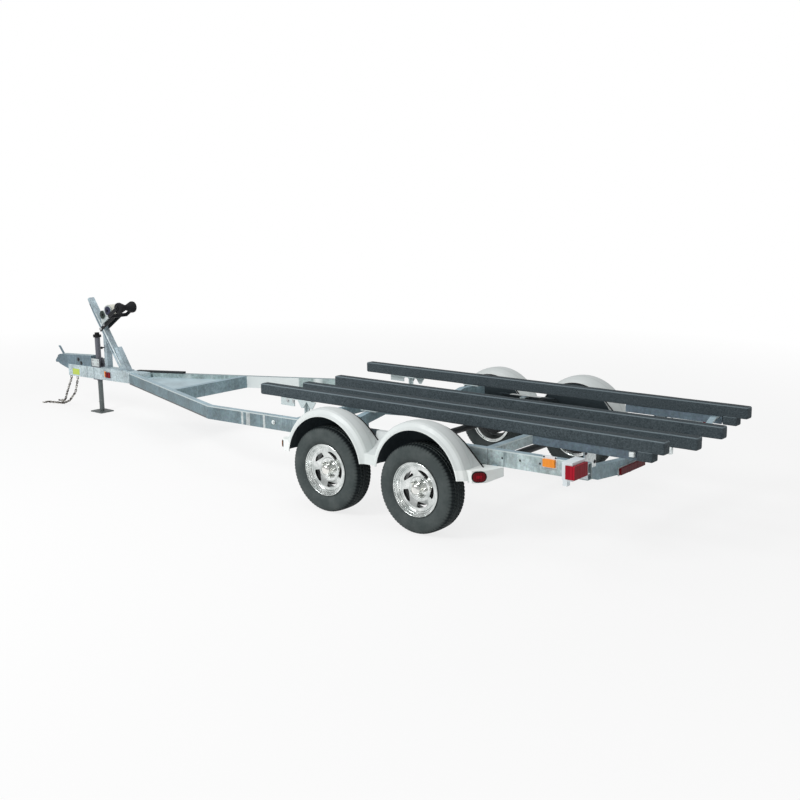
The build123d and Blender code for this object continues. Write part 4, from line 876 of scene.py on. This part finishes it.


# rails: a seam, a row of holes drawn as dark discs of painted shade, bright bands, the side lamp's plate, a bolt
# and its washer
SEAM_X = (0.4025, 0.4065)
RAIL_HOLES = [(0.530, 0.575), (0.683, 0.577), (0.850, 0.578)]
RAIL_BANDS = [(-2.213, -2.188), (-2.152, -2.104), (-1.942, -1.916)]
SIDE_LAMP_X, SIDE_LAMP_Z = (0.884, 0.980), (0.567, 0.623)
LAMP_PLATE_X = (SIDE_LAMP_X[0] - 0.010, SIDE_LAMP_X[1] + 0.010)
LAMP_PLATE_Z = (SIDE_LAMP_Z[0] - 0.010, SIDE_LAMP_Z[1] + 0.022)
RAIL_BOLT = (-1.812, 0.574)
for name, side in SIDES.items():
    dark = [sheet_on(side, RAIL_OUT, 0.0008, SEAM_X, (RAIL_BOTTOM, RAIL_TOP))]
    # painted shade: dark discs stand for the shade inside the holes
    dark += [on_side(side, RAIL_OUT, x, z, disc(0.0085, 0.0008)) for x, z in RAIL_HOLES]
    dark += [on_side(side, RAIL_OUT, x, SIDE_LAMP_Z[1] + 0.012, disc(0.0075, 0.004)) for x in SIDE_LAMP_X]
    fixed(f"rail_holes_{name}", merged(*dark), DARK_BOLT_AND_HOLE_SHADE)
    plate = sheet_on(side, RAIL_OUT, 0.002, LAMP_PLATE_X, LAMP_PLATE_Z, 0.001)
    fixed(f"side_lamp_plate_{name}", plate, HOUSING)
    washer = on_side(side, RAIL_OUT, *RAIL_BOLT, disc(0.022, 0.002, 28))
    fixed(f"rail_washer_{name}", washer, DARK_BOLT_AND_HOLE_SHADE)
    bolt = bolts_on(side, RAIL_OUT + 0.002, [RAIL_BOLT], 0.014, 0.012)
    fixed(f"rail_bolt_{name}", bolt, BRIGHT_ZINC)
    band_z = (RAIL_BOTTOM + 0.001, RAIL_TOP - RAIL_HIGHLIGHT_H)
    bands = [sheet_on(side, RAIL_OUT, 0.0006, xs, band_z) for xs in RAIL_BANDS]
    fixed(f"rail_bands_{name}", merged(*bands), GALV_PALE)

# rear: bolted end plates of the beam, and bright ends of the bunk channel
BEAM_X, BEAM_HALF, END_PLATE_T = 1.080, 0.030, 0.008
END_X = BEAM_X + BEAM_HALF + END_PLATE_T
PLATE_Y, PLATE_Z, FACE_T = (0.712, 0.547), (0.532, 0.675), 0.0015
PLATE_BOLTS = [(0.692, 0.655), (0.567, 0.655), (0.692, 0.570), (0.567, 0.570)]      # Y and height
CHANNEL_END = (1.492, 1.530), (0.7435, 0.772), (0.694, 0.728)
for name, side in SIDES.items():
    plate = box_at((END_X, END_X + FACE_T), (side * PLATE_Y[0], side * PLATE_Y[1]), PLATE_Z, 0.0005)
    fixed(f"end_plate_face_{name}", plate, BRIGHT_ZINC)
    bolts = [at((END_X + FACE_T, side * y, z), hex_bolt(0.010, 0.008), (1, 0, 0)) for y, z in PLATE_BOLTS]
    fixed(f"end_plate_bolts_{name}", merged(*bolts), DARK_BOLT_AND_HOLE_SHADE)
    xs, ys, zs = CHANNEL_END
    clip = box_at(xs, (side * ys[0], side * ys[1]), zs, 0.003)
    fixed(f"channel_clip_{name}", clip, BRIGHT_ZINC)

# pads: dark rings round the corner lamps, and a brighter core in the rear ones
PAD_LAMP = {"front": (0.044, 0.040), "rear": (0.094, 0.064)}      # length and height
PAD_LAMP_T, PAD_LAMP_Z = 0.012, 0.501
PAD_LENGTH = {"front": 0.564, "rear": 0.536}
PAD_CORNER, PAD_OUT_Y = 0.074, FENDER_OUT_Y - 0.062


def oval(half_l, half_h, grow):
    """A line with rounded ends, in X and Z, that stands off an oval lamp."""
    r, flat = half_h + grow, half_l - half_h
    turns = [pi * k / 12 for k in range(-6, 7)]
    right_end = [(flat + r * cos(a), r * sin(a)) for a in turns]
    return right_end + [(-x, -z) for x, z in right_end]


def oval_ring(half_l, half_h, width, depth):
    """Bezel round an oval lamp, standing along +Y."""
    inner, outer = oval(half_l, half_h, 0.0005), oval(half_l, half_h, width)
    rings = [(inner, 0.0), (inner, depth), (outer, depth), (outer, 0.0)]
    n = len(inner)
    verts = [Vector((x, y, z)) for line, y in rings for x, z in line]
    faces = [(i * n + k, i * n + (k + 1) % n, (i + 1) % 4 * n + (k + 1) % n, (i + 1) % 4 * n + k)
             for i in range(4) for k in range(n)]
    return verts, faces


for place, away in (("front", -1), ("rear", 1)):
    length, height = PAD_LAMP[place]
    for name, side in SIDES.items():
        spot = Vector((ARCH_X[place] + away * (PAD_LENGTH[place] - PAD_CORNER / 2),
                       side * (PAD_OUT_Y - PAD_CORNER / 2), PAD_LAMP_Z))
        ring = at(spot, oval_ring(length / 2, height / 2, 0.008, 0.010), (away, side, 0))
        fixed(f"pad_lamp_ring_{place}_{name}", ring, BLACK_PLASTIC)
        if place == "rear":
            face = spot + Vector((away, side, 0)).normalized() * (PAD_LAMP_T + 0.0005)
            core = at(face, solid_box((0.040, 0.003, 0.020), 0.0012), (away, side, 0))
            fixed(f"pad_lamp_core_{name}", core, RED_LENS)

# painted shade: dark strips along the shadow gap round the inner sides of the arches and down their rear flanks
EDGE_R, FLANK_R, FLANK_END = ARCH_R + 0.0095, ARCH_R + 0.011, ARCH_R + 0.064
for name, side in SIDES.items():
    shade_strips = []
    y = side * (FENDER_OUT_Y - FENDER_W - 0.001)
    start = FLANK_R * sin(radians(45)) + 0.002
    for middle in ARCH_X.values():
        turns = [radians(a) for a in range(-60, 41, 5)]
        bow = [(middle + EDGE_R * sin(a), y, ARCH_Z + EDGE_R * cos(a)) for a in turns]
        bow += [(middle + start, y, ARCH_Z + start),
                (middle + FLANK_END, y, ARCH_Z + 2 * start - FLANK_END),
                (middle + FLANK_END, y, FENDER_LOW + 0.002)]
        shade_strips.append(tube_along(bow, 0.005))
    fixed(f"arch_edge_shade_{name}", merged(*shade_strips), BLACK_PLASTIC)

# tongue: blank label, seams, coupler bolts and the amber end of the marker
LABEL_X, LABEL_Z = (-5.853, -5.728), (0.530, 0.597)
SEAMS = [(x - 0.002, x + 0.002) for x in (-5.582, -5.455)]
COUPLER_HALF, COUPLER_BOLTS = 0.046, [(-5.74, 0.705), (-5.69, 0.668)]
MARKER_X, MARKER_Z = (-5.262, -5.238), (0.548, 0.612)
for name, side in SIDES.items():
    label = sheet_on(side, TONGUE_HALF, 0.0008, LABEL_X, LABEL_Z)
    fixed(f"tongue_label_{name}", label, LABEL)
    seams = [sheet_on(side, TONGUE_HALF, 0.0008, xs, (TONGUE_BOTTOM, TONGUE_TOP)) for xs in SEAMS]
    fixed(f"tongue_seams_{name}", merged(*seams), GALV_DARK)
    bolts = bolts_on(side, COUPLER_HALF, COUPLER_BOLTS, 0.015, 0.010)
    fixed(f"coupler_bolts_{name}", bolts, DARK_BOLT_AND_HOLE_SHADE)
    plate = sheet_on(side, TONGUE_HALF, 0.006, MARKER_X, MARKER_Z, 0.001)
    fixed(f"tongue_reflector_{name}", plate, AMBER_LENS)

# bunk clips: bolts at the front, pale brackets under the rear of the inner bunks
BUNK_LOW = {kind: top - BUNK_H for kind, (_, top, _, _) in BUNKS.items()}
CLIP_FACE_Y, CLIP_BOLTS = 0.751, [(x, BUNK_LOW["outer"] - 0.020) for x in (-1.757, -1.690)]
BRACKET_X, BRACKET_T, BRACKET_DROP = (1.500, 1.556), 0.028, 0.052
for name, side in SIDES.items():
    bolts = bolts_on(side, CLIP_FACE_Y, CLIP_BOLTS, 0.012, 0.010)
    fixed(f"clip_bolts_{name}", bolts, BOLT, slope=BUNK_TIPPED)
    ys = (side * BUNKS["inner"][0], side * (BUNKS["inner"][0] - BRACKET_T))
    clip = box_at(BRACKET_X, ys, (BUNK_LOW["inner"] - BRACKET_DROP, BUNK_LOW["inner"] + 0.002), 0.003)
    fixed(f"inner_clip_{name}", clip, BRIGHT_ZINC, slope=BUNK_TIPPED)

# winch: dark discs on its side plates, over the drum and the gear
DRUM_X, DRUM_Z, DRUM_OUT_Y = -5.108, 1.289, 0.076
GEAR_X, GEAR_Z, GEAR_OUT_Y = -5.205, 1.240, 0.070
COVER_T = 0.003
for name, side in SIDES.items():
    cover = on_side(side, DRUM_OUT_Y, DRUM_X + 0.008, DRUM_Z, disc(0.049, COVER_T, 32))
    fixed(f"drum_cover_{name}", cover, WINCH_BLUE)
    nut = bolts_on(side, DRUM_OUT_Y + COVER_T, [(DRUM_X, DRUM_Z)], 0.011, 0.008)
    fixed(f"drum_nut_{name}", nut, BLACK_PAINT)
gear = on_side(-1, GEAR_OUT_Y, GEAR_X, GEAR_Z, disc(0.045, COVER_T, 32))
fixed("winch_gear_cover", gear, WINCH_GREEN)
nut = bolts_on(-1, GEAR_OUT_Y + COVER_T, [(GEAR_X, GEAR_Z)], 0.010, 0.006)
fixed("winch_gear_nut", nut, BLACK_PAINT)

# jack: bracket plates over the flange
JACK_X, JACK_PLATE_Y, JACK_PLATE_T = -5.425, 0.044, 0.005
JACK_PLATE_X, JACK_PLATE_Z = (JACK_X - 0.068, JACK_X + 0.066), (TONGUE_TOP + 0.010, 0.738)
JACK_BOLTS = [(JACK_X + dx, z) for z in (0.680, 0.720) for dx in (-0.045, 0.045)]
for name, side in SIDES.items():
    plate = sheet_on(side, JACK_PLATE_Y, JACK_PLATE_T, JACK_PLATE_X, JACK_PLATE_Z, 0.001)
    fixed(f"jack_bracket_{name}", plate, GALV_PALE)
    bolts = bolts_on(side, JACK_PLATE_Y + JACK_PLATE_T, JACK_BOLTS, 0.009, 0.007)
    fixed(f"jack_bracket_bolts_{name}", bolts, BOLT)

# winch stand: the pin's knob on the upright post
POST_FACE_Y, KNOB = 0.035, (-5.258, 0.875)
KNOB_PROFILE = [(0, 0), (0.006, 0), (0.006, 0.026), (0.013, 0.030), (0.015, 0.038), (0.011, 0.047),
                (0, 0.049)]
knob = on_side(-1, POST_FACE_Y, *KNOB, lathe_grid(KNOB_PROFILE, 20))
fixed("stand_knob", knob, BLACK_PLASTIC)

# mast: bolts that hold the arms, on both sides
ARM_T = 0.006
ARM_BOLTS = [(-5.290, 1.080), (-5.235, 1.130)]
for name, side in SIDES.items():
    bolts = bolts_on(side, POST_FACE_Y + ARM_T, ARM_BOLTS, 0.011, 0.009)
    fixed(f"arm_bolts_{name}", bolts, BOLT)

# mast: a painted highlight along its rear edge and a dark strip of painted shade in the channel, on both sides
MAST_FOOT, MAST_TOP = Vector((-4.973, 0, TONGUE_TOP)), Vector((-5.501, 0, 1.398))
mast_along = (MAST_TOP - MAST_FOOT).normalized()
mast_across = Vector((mast_along.z, 0, -mast_along.x))


def mast_strip(side, start, end, offset, width, thickness):
    """Strip on a side of the mast, between two distances from its foot; offset runs rearward."""
    low, high = offset - width / 2, offset + width / 2
    corners = [MAST_FOOT + mast_along * a + mast_across * w
               for a, w in ((start, low), (end, low), (end, high), (start, high))]
    ys = sorted((side * POST_FACE_Y, side * (POST_FACE_Y + thickness)))
    return prism([(c.x, c.z) for c in corners], *ys)


for name, side in SIDES.items():
    # painted highlight: bright strip along the rear edge; painted shade: dark strip in the channel
    edge = mast_strip(side, 0.05, 0.72, 0.0195, 0.009, 0.002)
    fixed(f"mast_highlight_{name}", edge, BRIGHT_ZINC)
    channel = mast_strip(side, 0.22, 0.86, -0.006, 0.012, 0.001)
    fixed(f"mast_channel_shade_{name}", channel, GALV_DARK)

# plate that closes the rear end of the tongue
cap = box_at((-4.601, -4.598), (-0.050, 0.050), (TONGUE_BOTTOM + 0.002, TONGUE_TOP - 0.002))
fixed("tongue_end_cap", cap, TONGUE)

# a dark strip lies on the right rail's nose, along the outer edge
NOSE_X, NOSE_Y = -4.807, 0.073
STRIP_X, STRIP_IN, STRIP_W, STRIP_T = (-4.800, -4.270), 0.006, 0.046, 0.022
lean = (RAIL_OUT - NOSE_Y) / (RAIL_BEND_X - NOSE_X)
edge = [(x, NOSE_Y + (x - NOSE_X) * lean - STRIP_IN) for x in STRIP_X]
outline = edge + [(x, y - STRIP_W) for x, y in reversed(edge)]
verts = [Vector((x, y, z)) for z in (RAIL_TOP + 0.0002, RAIL_TOP + STRIP_T) for x, y in outline]
strip = bevelled((verts, between_rings(2, 4)), 0.006)
fixed("rail_dark_strip_right", strip, DARK_STEEL)


# -------- stage, light and camera
def stage_material(name, color, glow, reach=20.0):
    """A floor that catches shadow near the object and fades to white with distance."""
    p = Paint(name, color, rough=0.9)
    emit = p.node("Emission")
    emit.inputs["Strength"].default_value = 1.0
    path = p.node("LightPath")
    seen = p.math("MAXIMUM", path.outputs["Is Camera Ray"], path.outputs["Is Glossy Ray"])
    distance = p.node("VectorMath", operation="LENGTH")
    p.link(p.coords, distance.inputs[0])
    spread = p.ramp(p.math("DIVIDE", distance.outputs["Value"], reach), (0.24, glow), (0.50, 1.0))
    blend = p.node("MixShader")
    p.link(p.math("MULTIPLY", seen, spread), blend.inputs[0])
    p.link(p.bsdf.outputs[0], blend.inputs[1])
    p.link(emit.outputs[0], blend.inputs[2])
    p.link(blend.outputs[0], p.tree.nodes["Material Output"].inputs["Surface"])
    return p.mat


FLOOR_HALF, FLOOR_Z = 120.0, -0.0005
corners = [(x * FLOOR_HALF, y * FLOOR_HALF, FLOOR_Z) for x, y in ((-1, -1), (1, -1), (1, 1), (-1, 1))]
floor_mesh = mesh_of("floor", (corners, [(0, 1, 2, 3)]))
floor_mesh.materials.append(stage_material("floor", (0.80, 0.80, 0.80), 0.80))
floor = in_scene("floor", floor_mesh)


def studio(name, lit, seen):
    """A white surround of one strength as a light, and of another to the camera and through glass."""
    world = bpy.data.worlds.new(name)
    world.use_nodes = True
    tree = world.node_tree
    background = tree.nodes["Background"]
    background.inputs["Color"].default_value = (1, 1, 1, 1)
    path = tree.nodes.new("ShaderNodeLightPath")
    either = tree.nodes.new("ShaderNodeMath")
    either.operation = "MAXIMUM"
    tree.links.new(path.outputs["Is Camera Ray"], either.inputs[0])
    tree.links.new(path.outputs["Is Transmission Ray"], either.inputs[1])
    strength = tree.nodes.new("ShaderNodeMix")
    strength.data_type = "FLOAT"
    strength.inputs[2].default_value = lit
    strength.inputs[3].default_value = seen
    tree.links.new(either.outputs[0], strength.inputs[0])
    tree.links.new(strength.outputs[0], background.inputs["Strength"])
    return world


scene.world = studio("studio", 0.50, 1.0)


def area_light(name, position, target, size, power):
    data = bpy.data.lights.new(name, "AREA")
    data.shape = "DISK"
    data.size = size
    data.energy = power
    lamp = in_scene(name, data)
    lamp.location = position
    lamp.rotation_euler = (Vector(target) - Vector(position)).to_track_quat("-Z", "Y").to_euler()


area_light("key", (-1.0, -8.0, 7.0), (0.0, 0, 0.5), 4.0, 560)
area_light("top", (-2.0, 1.0, 9.0), (0, 0, 0.5), 6.0, 170)

# camera: a 50 mm lens that looks at the left side from behind, slightly from above
YAW, PITCH = radians(38.57), radians(11.43)
CAMERA_PLACE = (4.851 + SHIFT_X, -7.430, 2.607)
camera_data = bpy.data.cameras.new("camera")
camera_data.sensor_width = 36.0
camera_data.lens = 50.07
camera_data.shift_x = -0.007
camera_data.shift_y = -0.0008
camera = in_scene("camera", camera_data)
turn = Euler((pi / 2 - PITCH, 0, YAW)).to_matrix().to_4x4()
camera.matrix_world = Matrix.Translation(CAMERA_PLACE) @ turn
bpy.context.scene.camera = camera
bpy.context.scene.view_settings.view_transform = "Standard"
